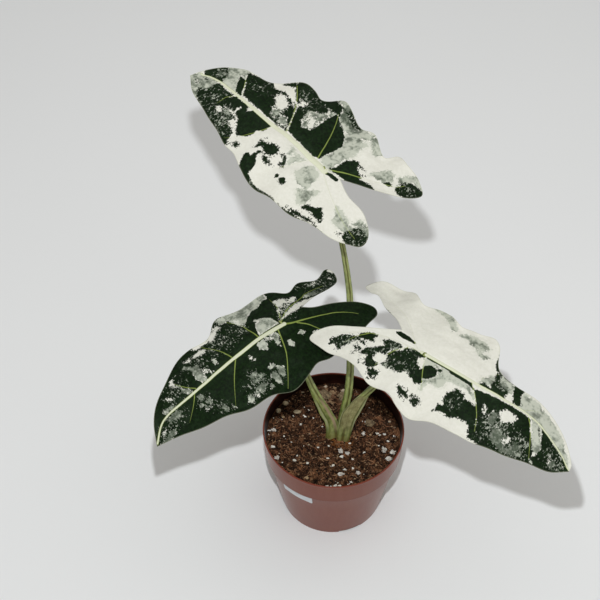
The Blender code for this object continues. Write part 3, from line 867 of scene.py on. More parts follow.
blade_spacing = 1.2
vein_row_step = 1.1
fold_rounding = 8.0
ruffle_height = 2.2
ruffle_pitch = 36.0
ruffle_reach = 45.0
sheet_thickness = 0.42
margin_thickness = 0.25
midrib_rise = 0.55
midrib_keel = 1.5
vein_rise = 0.22
vein_keel = 0.5
vein_sink = 1.3
quilt_reach = 5.5
bulge_height = 0.60
wrinkle_height = 0.16
margin_width = 3.0
face_drop = 0.05
field_reach = 8.0
point_gap = 0.33
vein_flank = 0.8

# A blade's edges and veins are in millimetres over its own plane: x runs from the junction
# to the tip, and y to the left. They are drawn for edge_length, and scaled to blade_length.
# A vein is its half width at each end, and its points. A patch is its tone, how ragged its
# edge is, and its outline; later patches lie over earlier ones. A flecked place is its middle,
# its reach and how thick its pale flecks are; the mint is dimmer there.
blades = {
    "top": {
        "blade_length": 134.0, "edge_length": 131.0, "heading": 135, "rise": 8, "arch_front": 0.4,
        "arch_back": 1.0, "fold_left": 0.2, "fold_right": 0.04, "twist": 0.0, "tissue": "cream",
        "left_edge": [(131, 7), (117, 17), (98, 23), (80, 29), (65, 34), (54, 35), (40, 42),
            (27, 45), (4, 45), (-16, 42), (-37, 38), (-55, 32), (-64, 26), (-61, 16), (-47, 7),
            (-30, 5), (-16, -1)],
        "right_edge": [(131, 7), (127, -6), (120, -19), (109, -27), (98, -29), (86, -33), (71, -47),
            (58, -51), (49, -50), (36, -57), (22, -55), (8, -50), (-4, -50), (-20, -43), (-26, -52),
            (-38, -48), (-51, -47), (-61, -39), (-55, -27), (-42, -16), (-28, -8), (-16, -1)],
        "midrib": (2.3, 0.6, [(-3, 1.2), (3, 0.5), (12, 0), (30, -2), (42, -2.5), (58, -2.2),
            (78, -3.6), (95, -4.6), (110, -5.2), (120, -4), (127, -0.5)]),
        "veins": [
            (0.55, 0.25, [(8, -2), (12, -12), (18, -26), (24, -38), (29, -46)]),
            (0.6, 0.3, [(41, -4), (50, -20), (60, -34), (70, -44)]),
            (0.5, 0.2, [(89, -6), (96, -15), (103, -24)]),
            (0.45, 0.1, [(10, -1), (18, 15), (27, 30), (30, 38)]),
            (0.5, 0.1, [(52, -1), (54, 6), (60, 18), (70, 31)]),
            (0.45, 0.15, [(92, -4), (96, 3), (97, 12)]),
            (0.7, 0.2, [(-1, 0), (-10, -6.5), (-23, -15), (-32, -20), (-43, -27), (-48, -36)]),
            (0.6, 0.2, [(-1, 1), (-12, 8), (-30, 17), (-45, 22), (-56, 24)]),
        ],
        "flecked": [(76, 27, 16, 0.6), (86, 16, 12, 1.0), (104, 12, 16, 0.8), (118, -12, 9, 0.7),
            (54, -38, 14, 0.6), (-57, 24, 10, 0.8), (-54, -34, 10, 0.5), (86, -24, 14, 0.4),
            (20, -50, 12, 0.6), (18, 46, 20, 0.5)],
        "patches": [
            ("mint", 0.2, [(-5, -2), (4, -3), (8, -10), (6, -24), (12, -36), (4, -42), (-6, -38),
                (-6, -20)]),
            ("mint", 0.5, [(4, -38), (12, -38), (30, -46), (44, -46), (50, -58), (30, -60),
                (16, -57), (0, -48), (-12, -52), (-21, -46), (-15, -37), (-6, -44)]),
            ("dark", 0.25, [(7.5, -4), (12, -3), (31, -4.5), (41, -6), (50, -20), (56, -32),
                (46, -35), (41, -20), (37, -15), (33, -19), (31, -24), (30, -45), (20, -41),
                (12, -35), (5, -26), (6, -16)]),
            ("mint", 1.0, [(31, -22), (36, -16), (42, -21), (47, -33), (40, -36), (34, -40),
                (31, -45)]),
            ("cream", 1.0, [(31, -20), (35, -18), (38, -23), (39, -30), (35, -28), (32, -25)]),
            ("cream", 1.0, [(40, -22), (42, -25), (45, -32), (42, -32), (40, -27)]),
            ("dark", 0.45, [(35, -40), (38, -36), (46, -34), (57, -31), (69.5, -41.5), (72, -50),
                (58, -56), (46, -53), (42, -46), (36, -44)]),
            ("dark", 1.0, [(27, -46), (33, -44), (42, -45), (47, -52), (40, -56), (30, -52)]),
            ("cream", 1.0, [(52, -33), (56, -32), (57, -37), (53, -39)]),
            ("dark", 1.0, [(10, -48), (20, -49), (27, -51), (24, -56), (14, -55)]),
            ("dark", 0.4, [(42, -5), (66, -5), (89, -7), (99, -20), (105, -27), (96, -29),
                (84, -36), (79, -31), (66, -33), (56, -30), (50, -20)]),
            ("mint", 0.6, [(45, -7), (52, -7), (56, -13), (52, -16), (47, -12)]),
            ("mint", 0.8, [(56, -8), (61, -8), (67, -18), (64, -22), (58, -18)]),
            ("cream", 1.0, [(61, -15), (66, -17), (71, -24), (72, -29), (66, -28), (60, -25),
                (58, -21)]),
            ("cream", 0.7, [(56, -27), (62, -30), (70, -33), (80, -31), (87, -36), (79, -42),
                (70, -42), (63, -36)]),
            ("dark", 0.5, [(69, -41), (78, -38), (77, -42), (71, -47)]),
            ("dark", 0.3, [(90, -6), (96, -6), (106, -20), (100, -21)]),
            ("mint", 0.2, [(96, -6), (110, -5), (120, -20), (110, -30), (104, -28), (101, -21.5),
                (106, -20)]),
            ("dark", 0.6, [(110, -5), (124, -2), (130, -6), (124, -16), (118, -20), (113, -13)]),
            ("mint", 0.6, [(115, -8), (118, -9), (121, -14), (117, -13)]),
            ("dark", 0.5, [(-3, -3.5), (-8, -3), (-22, -2), (-28, -6), (-41, -12), (-34, -15),
                (-24, -13.5), (-24, -17), (-20, -22), (-12, -24), (-6, -18), (-6, -7)]),
            ("cream", 0.9, [(-24, -17), (-18, -18), (-15, -20), (-19, -21.5), (-24, -21)]),
            ("mint", 0.3, [(-41, -30), (-38, -23), (-30, -22), (-24, -23), (-29, -32), (-33, -36),
                (-39, -34)]),
            ("mint", 0.3, [(-45, -30), (-40, -34), (-47, -48), (-56, -50), (-64, -42), (-56, -43),
                (-49, -42)]),
            ("dark", 0.5, [(-45, -27), (-50, -25), (-56, -26), (-64, -36), (-61, -42), (-55, -43),
                (-49, -41), (-45, -33)]),
            ("dark", 0.3, [(-44, -28), (-41, -24), (-37, -24), (-38, -27)]),
            ("mint", 0.1, [(-6, 17), (-5, 22), (3, 24), (9, 18), (10, 8), (5, 5), (-1, 6),
                (-4, 10)]),
            ("mint", 0.2, [(-14, 30), (-8, 33), (0, 25), (-6, 21), (-13, 16), (-13, 24)]),
            ("mint", 0.4, [(14, 4), (16, 10), (20, 17), (21, 10), (20, 5)]),
            ("mint", 0.4, [(23, 9), (26, 10), (28, 3), (25, 3)]),
            ("dark", 0.6, [(-33, 35), (-26, 33), (-13, 33), (-14, 29), (-19, 28), (-24, 24),
                (-28, 27)]),
            ("dark", 0.6, [(-38, 38), (-24, 41), (-12, 40.5), (0, 44.5), (2, 50), (-20, 46),
                (-40, 42)]),
            ("dark", 0.8, [(-33, 38.5), (-24, 40), (-5, 40), (-10, 38), (-24, 36.5)]),
            ("mint", 0.3, [(-52, 27), (-37, 27), (-30, 16), (-38, 17), (-52, 20)]),
            ("dark", 0.5, [(-68, 32), (-57, 33), (-49, 30), (-48, 26), (-50, 20), (-54, 14),
                (-62, 14), (-68, 22)]),
            ("mint", 0.7, [(-64, 20), (-57, 17), (-46, 17), (-50, 12), (-60, 12)]),
            ("dark", 0.8, [(-48, 31), (-45, 30.5), (-45, 28.5), (-48, 29)]),
            ("dark", 0.1, [(-17, 1.8), (-12, 2.6), (-5, 2.6), (-3, 1), (-8, -0.8), (-15, -0.6)]),
            ("dark", 0.3, [(2, 44.2), (14, 43.4), (26, 42.4), (33, 40), (34, 36), (36, 30),
                (39, 28), (40, 24), (39, 20), (43, 22), (43, 29), (48, 27.5), (47, 33), (44, 38),
                (37, 48), (20, 49), (2, 49)]),
            ("dark", 1.0, [(30, 14), (32, 19), (38, 20), (48, 17), (46, 13), (41, 12), (37, 9),
                (33, 11)]),
            ("dark", 1.0, [(20, 20), (24, 21), (24, 15), (29, 13), (26, 11), (22, 14)]),
            ("dark", 1.0, [(27, 24), (31, 26), (38, 25), (38, 21), (31, 22)]),
            ("dark", 0.8, [(45, 22), (47, 21), (48, 14), (46, 9), (45, 15)]),
            ("dark", 0.4, [(7.5, 31), (13, 31.5), (15, 28), (13, 25), (9, 27)]),
            ("dark", 0.3, [(16, 28), (18, 29.5), (19.5, 27), (18, 25)]),
            ("dark", 1.0, [(56, 29), (64, 31), (62, 28), (60, 26), (56, 26)]),
            ("dark", 0.4, [(52.5, -1), (92, -3), (95, 2), (96, 10), (86, 11), (80, 9), (74, 13),
                (70, 17), (66, 22.5), (64, 23), (57, 17), (57, 10), (53, 7)]),
            ("dark", 0.7, [(63, 33), (66, 37), (72, 36), (84, 31), (97, 25), (110, 20), (118, 11),
                (112, 8), (111, -3), (94, -3), (95, 9), (90, 10), (84, 10.5), (80, 11), (77, 14),
                (73, 18), (68, 24), (66, 29)]),
            ("cream", 1.0, [(69, 21), (73, 20), (77, 18.5), (78, 15), (76, 12.5), (73, 15)]),
            ("cream", 1.0, [(89, 16), (92, 16), (95, 13), (91, 12.5)]),
            ("cream", 0.5, [(72.5, -3), (75, 2.5), (77.5, -3)]),
            ("cream", 0.4, [(80, 8.5), (81.5, 8.5), (81.8, 2.5), (80.3, 3)]),
            ("mint", 0.3, [(111, -3), (113, 9), (118, 11), (112, 18), (124, 18), (134, 7),
                (126, -2), (118, -4)]),
            ("dark", 0.6, [(118, -1.5), (124, 1.5), (120, 2)]),
            ("dark", 0.6, [(120.5, 8), (125, 6), (124, 9.5)]),
        ],
    },
    "left": {
        "blade_length": 128.0, "edge_length": 127.0, "heading": 215, "rise": -4, "arch_front": 1.8,
        "arch_back": 2.2, "fold_left": 0.14, "fold_right": 0.36, "twist": 1.5, "tissue": "dark",
        "left_edge": [(127, 20), (113, 26), (92, 34), (70, 42), (47, 48), (27, 53), (10, 52),
            (-4, 46), (-18, 46), (-38, 41), (-56, 35), (-70, 30), (-73, 22), (-63, 13), (-47, 7),
            (-30, 3), (-22, -2)],
        "right_edge": [(127, 20), (120, 5), (110, -7), (96, -17), (80, -28), (66, -30), (49, -29),
            (36, -40), (24, -39), (5, -37), (-14, -36), (-24, -25), (-36, -29), (-50, -24),
            (-64, -32), (-68, -26), (-63, -13), (-52, -8), (-36, -6), (-22, -2)],
        "midrib": (1.7, 0.5, [(-2, 3), (4, 3), (19, 2.5), (38, 4), (46, 4.5), (65, 5.8), (83, 6.8),
            (98, 6.6), (109, 6.8), (117, 10), (126, 19)]),
        "veins": [
            (0.55, 0.2, [(20.5, 1), (22, -10), (24, -22), (30, -34)]),
            (0.5, 0.2, [(46, 3), (50, -11), (57, -26)]),
            (0.45, 0.2, [(81, 5), (87, -3), (91, -13)]),
            (0.6, 0.2, [(5, 5), (8, 15), (12, 26), (20, 39), (27, 49)]),
            (0.5, 0.1, [(45, 6), (55, 19), (66, 37)]),
            (0.45, 0.1, [(84, 8), (90, 15), (99, 23)]),
            (0.8, 0.2, [(-1, 3), (-13, 7), (-30, 11), (-47, 15.5), (-58, 22)]),
            (0.55, 0.1, [(-11, 7.5), (-18, 14), (-25, 26), (-32, 37)]),
            (0.6, 0.2, [(-1, 0), (-12, -8), (-29, -13), (-34, -15), (-52, -15)]),
            (0.55, 0.1, [(-3, -4), (-8, -16), (-9.5, -30)]),
        ],
        "flecked": [(46, -20, 20, 0.7), (70, -14, 16, 0.6), (30, -16, 12, 0.7), (94, -6, 14, 0.65),
            (44, 33, 15, 0.55), (74, 32, 10, 0.5), (103, 14, 12, 0.55), (82, 18, 9, 0.45),
            (26, 36, 10, 0.4), (-48, -22, 20, 0.7), (-12, -8, 14, 0.5), (116, 16, 12, 0.5)],
        "patches": [
            ("mint", 0.15, [(1, 0), (19.5, 0.5), (17, -8), (13, -16), (10, -15), (7, -12),
                (3, -8)]),
            ("cream", 0.6, [(9, -14), (13, -16.5), (15, -11), (11, -11)]),
            ("mint", 0.25, [(-9, -31), (-2, -30), (3, -27), (9, -28), (13, -25), (17, -21.5),
                (21, -18), (25, -24), (30, -40), (22, -42), (8, -40), (-9, -38)]),
            ("cream", 0.5, [(20, -27), (22, -16), (25, -21), (26, -31), (22, -29)]),
            ("cream", 0.7, [(-2, -4), (-7, -7), (-14, -11), (-24, -14), (-25, -17), (-18, -19),
                (-17, -22), (-10, -25), (-8, -16)]),
            ("dark", 0.9, [(-5, -7), (-14, -14), (-19, -17), (-14, -16), (-6, -10)]),
            ("dark", 0.9, [(-10, -9.5), (-15, -12.5), (-20, -14), (-14, -13.5)]),
            ("cream", 0.7, [(-45, -3), (-30, -3), (-10, -2.5), (-2, -1.5), (-12, -7), (-22, -9.5),
                (-28, -8), (-38, -6)]),
            ("mint", 0.6, [(-42, -9), (-38, -8), (-30, -11), (-32, -14), (-41, -13)]),
            ("cream", 0.4, [(-71, -26), (-66.5, -24), (-65.5, -29), (-67, -33)]),
            ("cream", 0.8, [(-63, -20), (-61, -19), (-60, -21), (-62, -22)]),
            ("cream", 0.8, [(-49, -21), (-45, -20), (-44, -22), (-48, -22.5)]),
            ("cream", 1.0, [(36, -31), (42, -27), (48, -24), (50, -29), (42, -33), (36, -36)]),
            ("cream", 0.7, [(56, -20), (59, -17), (65, -18), (67, -21), (60, -24)]),
            ("cream", 0.7, [(70, -19.5), (74, -19.5), (74, -23.5), (70, -22)]),
            ("cream", 0.8, [(50, -26), (57, -26), (64, -27), (62, -31), (50, -31)]),
            ("mint", 0.7, [(27, -38), (35, -40), (36, -33), (29, -33)]),
            ("mint", 0.5, [(70, 5), (74, 5), (77, 0), (76, -5), (75, -12), (80, -19), (76, -19),
                (73, -13), (69, -12), (70, -4)]),
            ("mint", 0.5, [(57, 0), (59.5, -1), (59, -6.5), (56.5, -6)]),
            ("mint", 0.6, [(64, 4), (68, 0), (69, -4), (66, -3)]),
            ("cream", 0.8, [(87, -19), (92, -16), (95, -14), (92, -9), (90, -9), (90, -14)]),
            ("mint", 0.5, [(84, 6), (87, 5), (91, 0), (88, -2), (85, 2)]),
            ("mint", 0.8, [(99, 5.5), (110, 5), (109, 2), (103, 2.5)]),
            ("cream", 0.5, [(98, 0), (100, 0), (104, -6), (102, -5)]),
            ("mint", 0.6, [(8, 5), (7, 9), (10, 14), (12, 18), (13, 12), (14, 8), (13, 5)]),
            ("mint", 0.4, [(18, 5), (19, 11), (22, 15), (26, 11), (25, 5)]),
            ("mint", 0.8, [(13, 5), (15, 10), (18, 8), (18, 5)]),
            ("mint", 0.3, [(1, 22), (3, 24.5), (6.5, 21), (5, 16.5), (2.5, 18)]),
            ("mint", 0.3, [(-12, 18), (-8, 19.5), (-5, 16), (-9, 14.5)]),
            ("mint", 0.6, [(-20, 24), (-16, 24), (-17, 21), (-20, 21)]),
            ("mint", 0.4, [(19.5, 33), (21, 38), (24, 40), (25.5, 35), (24, 29)]),
            ("mint", 0.4, [(26, 37), (28, 45), (31, 42), (32, 34), (28, 31.5)]),
            ("mint", 0.5, [(23, 28), (29, 30.5), (30, 27), (26, 25.5)]),
            ("mint", 0.6, [(34.5, 43.5), (38, 44), (38, 41), (35, 41)]),
            ("mint", 0.6, [(38, 40), (44, 42.5), (47.5, 39), (44, 35.5), (40, 36)]),
            ("cream", 0.5, [(45.5, 38), (48, 42.5), (50, 40), (47, 36)]),
            ("mint", 0.6, [(51, 40), (54, 43.5), (57, 41), (54, 36.5), (51.5, 36.5)]),
            ("mint", 0.7, [(35.5, 30), (39, 34.5), (41.5, 31), (38, 28.5)]),
            ("mint", 0.7, [(40.5, 33), (45, 32), (46, 28.5), (42, 30)]),
            ("mint", 0.6, [(38.5, 25), (41, 28.5), (46, 28), (45, 25)]),
            ("mint", 0.5, [(71, 35), (73.5, 37.5), (75, 33), (73.5, 28.5), (71.5, 31)]),
            ("mint", 0.6, [(65.5, 38), (68, 38.5), (67.5, 34.5)]),
            ("cream", 0.6, [(33.5, 16), (36, 16), (37.5, 12), (35, 10.5)]),
            ("mint", 0.7, [(76.5, 22), (79, 24), (80.5, 20), (78, 18.5)]),
            ("mint", 0.7, [(80, 25.5), (85, 25.5), (83, 22.5)]),
            ("mint", 0.5, [(79.5, 15), (84.5, 17.5), (83.5, 11.5), (80.5, 12.5)]),
            ("mint", 0.5, [(84, 20), (86.5, 20.5), (86, 16.5)]),
            ("mint", 0.5, [(98.5, 12), (103, 15.5), (107.5, 11), (106, 8), (101, 8.5)]),
            ("mint", 0.7, [(107, 13), (110, 14.5), (110, 8), (107, 8.5)]),
            ("mint", 0.9, [(108, 21), (113, 19), (118, 20), (123, 22), (119, 25), (112, 23)]),
            ("cream", 0.8, [(116, 17.5), (119, 18.5), (120, 15), (116, 14.5)]),
        ],
    },
    "right": {
        "blade_length": 130.0, "edge_length": 135.0, "heading": -33, "rise": -4, "arch_front": 1.5,
        "arch_back": 1.4, "fold_left": 0.16, "fold_right": 0.2, "twist": 1.0, "tissue": "cream",
        "left_edge": [(135, -13), (133, -6), (120, 7), (104, 17), (90, 21), (72, 20), (57, 22),
            (50, 28), (43, 44), (33, 51), (20, 48), (9, 43), (-4, 50), (-14, 53), (-27, 47),
            (-40, 57), (-50, 59), (-70, 54), (-78, 44), (-70, 37), (-62, 37), (-50, 27), (-36, 19),
            (-27, 11)],
        "right_edge": [(135, -13), (122, -24), (103, -31), (83, -37), (67, -43), (52, -43),
            (34, -48), (18, -52), (4, -50), (-7, -45), (-24, -44), (-40, -38), (-54, -35),
            (-67, -36), (-83, -33), (-84, -24), (-75, -13), (-58, -5), (-41, 3), (-27, 11)],
        "midrib": (1.4, 0.4, [(-3, 0.5), (4, 0.2), (23, 0.3), (43, 0.6), (58, 2.2), (72, 3.4),
            (84, 4.4), (97, 4.0), (110, 0), (124, -5.5), (134, -12)]),
        "veins": [
            (0.45, 0.1, [(45, 2), (46, 9), (50, 17), (55, 22)]),
            (0.4, 0.1, [(84, 5), (90, 11), (98, 15)]),
            (0.55, 0.2, [(1, -1), (5, -12), (10, -22), (13, -28)]),
            (0.5, 0.2, [(42, -1), (50, -10), (58, -22), (63, -34)]),
            (0.5, 0.2, [(90, 3), (96, -5), (102, -17), (106, -26)]),
            (0.7, 0.2, [(-2, 0.5), (-12, 0), (-30, -1), (-45, -4), (-55, -8), (-66, -15)]),
            (0.55, 0.2, [(-14, -1), (-20, -7), (-24, -14), (-28, -28)]),
            (0.5, 0.1, [(-47, -5), (-54, -12), (-60, -22)]),
            (0.5, 0.2, [(-2, 1), (-10, 3.5), (-24, 20), (-40, 33), (-60, 44)]),
        ],
        "flecked": [(78, -25, 22, 0.7), (62, 12, 10, 0.6), (96, -24, 14, 0.8), (37, -24, 9, 0.6),
            (120, -14, 14, 0.6), (-20, -15, 24, 0.7), (-58, -18, 16, 0.6)],
        "patches": [
            ("mint", 0.5, [(11, 34), (16, 40), (24, 43.5), (30, 43), (38, 38), (36, 34), (30, 32),
                (22, 32), (20, 36)]),
            ("mint", 0.8, [(30, 31), (36, 30), (42, 29), (40, 25), (34, 26)]),
            ("mint", 0.3, [(-21, 51), (-14, 56), (-8, 55), (2, 46), (9, 36), (5, 33.5), (0, 40),
                (-8, 48), (-14, 50)]),
            ("dark", 0.3, [(46, 40), (51, 30), (56, 22), (53, 20.5), (49, 25), (47.3, 30)]),
            ("mint", 0.2, [(46, 2), (45.5, 8), (49, 14), (54, 20), (57, 14), (55, 8), (50, 3)]),
            ("dark", 0.6, [(52, 22), (57, 21), (58, 14), (62, 12), (67, 11), (68, 3), (46, 1),
                (48, 5), (55, 5), (54, 10), (55, 15), (53, 16)]),
            ("mint", 0.3, [(57, 22), (70, 21), (71, 12), (67, 10.5), (60, 13)]),
            ("dark", 0.6, [(70, 21), (77, 21), (78, 12), (80, 8), (79, 3.5), (75, 4.5), (72, 10),
                (70, 14)]),
            ("dark", 0.2, [(53, 24), (60, 24), (77, 22), (77, 18.4), (60, 20.4)]),
            ("mint", 0.15, [(77, 19), (92, 19), (104, 15), (118, 6), (126, -1), (132, -9),
                (124, -6), (105, 1), (90, 4), (80, 5), (79, 12)]),
            ("dark", 0.1, [(-31, 6.6), (-27, 9.4), (-19, 8.6), (-11, 6), (-12, 4.3), (-23, 4)]),
            ("dark", 0.4, [(-52, 29), (-42, 22), (-43, 20), (-53, 25.5)]),
            ("mint", 0.2, [(3, -3), (22, -2), (42, -4), (53, -12), (45, -11), (40, -9), (30, -10),
                (25, -11), (23, -20), (18, -19), (14, -20), (12, -27), (8, -20), (5, -12)]),
            ("dark", 0.15, [(2, -0.6), (22, -0.6), (42, -1), (46, -6), (42, -4.2), (24, -4.2),
                (22, -2.4), (3, -3)]),
            ("dark", 0.2, [(1, -14), (5, -12), (5, -9), (9, -6.3), (13, -6.8), (16, -9),
                (16.5, -12.5), (13, -17), (8, -19), (3, -18)]),
            ("dark", 0.3, [(15, -5), (18, -4), (18.5, -8), (15, -8)]),
            ("dark", 0.65, [(1.5, -0.3), (1, -3.5), (-3, -5), (-2, -9), (2, -12), (6, -15),
                (10, -21), (9.5, -24), (6, -26.5), (1, -24), (-5, -21), (-8, -25), (-18, -25.5),
                (-27, -25), (-22, -20), (-25, -16), (-24, -10), (-17, -6), (-15, -2), (-10, -0.3)]),
            ("dark", 0.65, [(-18, -2), (-30, -2), (-34.5, -7), (-31, -9.5), (-35, -13.5),
                (-43, -20), (-44, -26), (-37, -25), (-36.5, -32), (-28, -32), (-26, -25),
                (-31, -25), (-33, -20), (-30, -16), (-26, -17), (-23, -10), (-19, -6)]),
            ("dark", 0.5, [(-39, -2.5), (-48, -4), (-54, -9), (-53, -13), (-47, -12), (-39, -11),
                (-40, -7)]),
            ("dark", 0.8, [(-54, -12), (-62, -14), (-66, -18), (-71, -25), (-68, -29), (-64, -26),
                (-60, -32), (-57, -24), (-54, -18), (-50, -15), (-42, -18), (-46, -13)]),
            ("dark", 0.9, [(-51, -20), (-48.5, -28), (-46, -25), (-49, -19)]),
            ("dark", 0.9, [(-47, -20), (-44, -21), (-44, -25), (-46, -23)]),
            ("dark", 1.0, [(-32, -33), (-28, -31), (-22, -31), (-22, -37), (-27, -40), (-29, -36)]),
            ("dark", 0.8, [(-41.5, -30), (-39, -30), (-39, -34), (-41, -33)]),
            ("dark", 1.0, [(-3, -34), (3, -34), (8, -39), (6, -41.5), (-1, -41)]),
            ("dark", 1.0, [(9, -35), (15, -33), (17.5, -38), (16, -41), (9, -40)]),
            ("dark", 0.7, [(30.5, -19), (36, -12.5), (42, -12.5), (44, -16), (55, -15), (58, -22),
                (62, -30), (66, -40), (64, -42), (60, -41), (57, -33), (53, -30.5), (47, -31.5),
                (40, -37), (36, -36), (29, -38.5), (29, -32), (33, -30), (30, -25)]),
            ("dark", 0.3, [(45, -4), (58, -1), (75, 2), (88, 3.2), (92, 2), (96, -6), (104, -16),
                (108, -24), (114, -32), (104, -36), (84, -40), (74, -45), (68, -45), (64, -41),
                (61, -30), (56, -18), (50, -10)]),
            ("cream", 0.7, [(71.5, -5), (76, -3), (84, -5), (82, -10), (79, -13), (75, -14.5),
                (71, -9)]),
            ("mint", 0.6, [(66, -12), (69, -10.5), (71.5, -15), (71.5, -22), (66.5, -21)]),
            ("mint", 0.5, [(72.5, -22), (80, -20), (82.5, -25), (81.5, -32.5), (74.5, -31.5)]),
            ("cream", 0.6, [(81, -23), (86, -20.5), (88, -24), (85, -30), (83, -34.5), (80, -31)]),
            ("mint", 0.6, [(84, -30.5), (92, -28), (97, -30), (90, -32.5), (84, -35)]),
            ("mint", 1.0, [(90, -21), (96, -22), (97, -27), (91, -28)]),
            ("cream", 0.8, [(58, -11), (61, -12), (63, -18), (61, -17)]),
            ("cream", 0.7, [(64, -40.5), (69, -42), (68, -45), (58, -45)]),
            ("mint", 0.25, [(91, 4), (98, 5), (102, -1), (108, -9), (110.5, -14), (109, -19),
                (104, -17), (99, -9), (96, -2)]),
            ("dark", 0.4, [(97, 4.5), (99, 3), (103, -3), (106, -7), (102, -3)]),
            ("dark", 0.3, [(102, 3), (115, -3), (130, -9), (138, -15), (128, -24), (112, -33),
                (106, -26), (108, -20), (110, -14), (106, -5)]),
            ("cream", 0.7, [(118, -13), (120, -14), (121, -21), (119, -20)]),
            ("mint", 0.8, [(122, -14), (124, -14), (123, -20), (121.5, -19)]),
            ("mint", 0.8, [(127, -13), (129, -14), (128, -18)]),
            ("mint", 0.7, [(107, -24), (109, -26), (110, -30), (107, -27)]),
        ],
    },
}

cream = (0.812, 0.80, 0.74, 1)
cream_shaded = (0.755, 0.747, 0.675, 1)
mint = (0.40, 0.43, 0.36, 1)
mint_pale = (0.56, 0.58, 0.50, 1)
mint_deep = (0.070, 0.092, 0.062, 1)
darkest = (0.0018, 0.0045, 0.0016, 1)
dark_green = (0.0080, 0.025, 0.0048, 1)
# Painted sheen: a greyish dark green standing for the soft reflection on the dark tissue.
dark_sheen = (0.021, 0.038, 0.019, 1)
vein_green = (0.30, 0.38, 0.09, 1)
vein_pale = (0.64, 0.66, 0.50, 1)
rib_cream = (0.73, 0.745, 0.58, 1)


def from_segments(points, line):
    """For each point, how far it is from a line, and how far along the line, 0 to 1."""
    line = np.array(line, float)
    lengths = np.hypot(*(line[1:] - line[:-1]).T)
    starts = np.concatenate([[0], np.cumsum(lengths)])
    nearest = np.full(len(points), np.inf)
    along = np.zeros(len(points))
    for k, length in enumerate(lengths):
        step = (line[k + 1] - line[k]) / length
        reach = np.clip((points - line[k]) @ step, 0, length)
        away = np.hypot(*(points - line[k] - reach[:, None] * step).T)
        closer = away < nearest
        nearest[closer] = away[closer]
        along[closer] = (starts[k] + reach[closer]) / starts[-1]
    return nearest, along


def inside_by(points, outline):
    """How far each point is inside a closed outline; outside it, the distance is negative."""
    outline = np.array(outline, float)
    away, _ = from_segments(points, np.vstack([outline, outline[:1]]))
    crossings = np.zeros(len(points), dtype=int)
    x, y = points.T
    for (x0, y0), (x1, y1) in zip(outline, np.roll(outline, -1, 0)):
        if y0 != y1:
            spans = (y0 > y) != (y1 > y)
            crossings += spans & (x < x0 + (x1 - x0) * (y - y0) / (y1 - y0))
    return np.where(crossings % 2 == 1, away, -away)


def blade_height(leaf, x, y):
    """Height of a blade's face over its plane: arched, folded along the midrib, ruffled."""
    arch = np.where(x > 0, leaf["arch_front"], leaf["arch_back"]) * MM
    fold = np.where(y > 0, leaf["fold_left"], leaf["fold_right"])
    twist = leaf["twist"] * MM * np.where(x < 0, x, 0) * y
    phase = np.where(y > 0, 0.6, 2.2)
    ruffle = ruffle_height * (y / ruffle_reach) ** 2 * np.sin(2 * math.pi * x / ruffle_pitch + phase)
    drop = fold * (np.hypot(y, fold_rounding) - fold_rounding)
    return twist + ruffle - arch * x * x - drop


def tissue_fields(points, leaf):
    """How far each point lies inside the dark and the mint tissue, and how ragged it is there."""
    dark = np.full(len(points), field_reach if leaf["tissue"] == "dark" else -field_reach)
    mint_field = np.full(len(points), -field_reach)
    ragged = np.full(len(points), 0.5)
    nearest = np.full(len(points), field_reach)
    for tone, raggedness, outline in leaf["patches"]:
        depth = inside_by(points, outline)
        for field, kind in ((dark, "dark"), (mint_field, "mint")):
            if tone == kind:
                np.maximum(field, depth, out=field)
            else:
                np.minimum(field, -depth, out=field)
        closer = np.abs(depth) < nearest
        ragged[closer] = raggedness
        nearest[closer] = np.abs(depth)[closer]
    return dark, mint_field, ragged


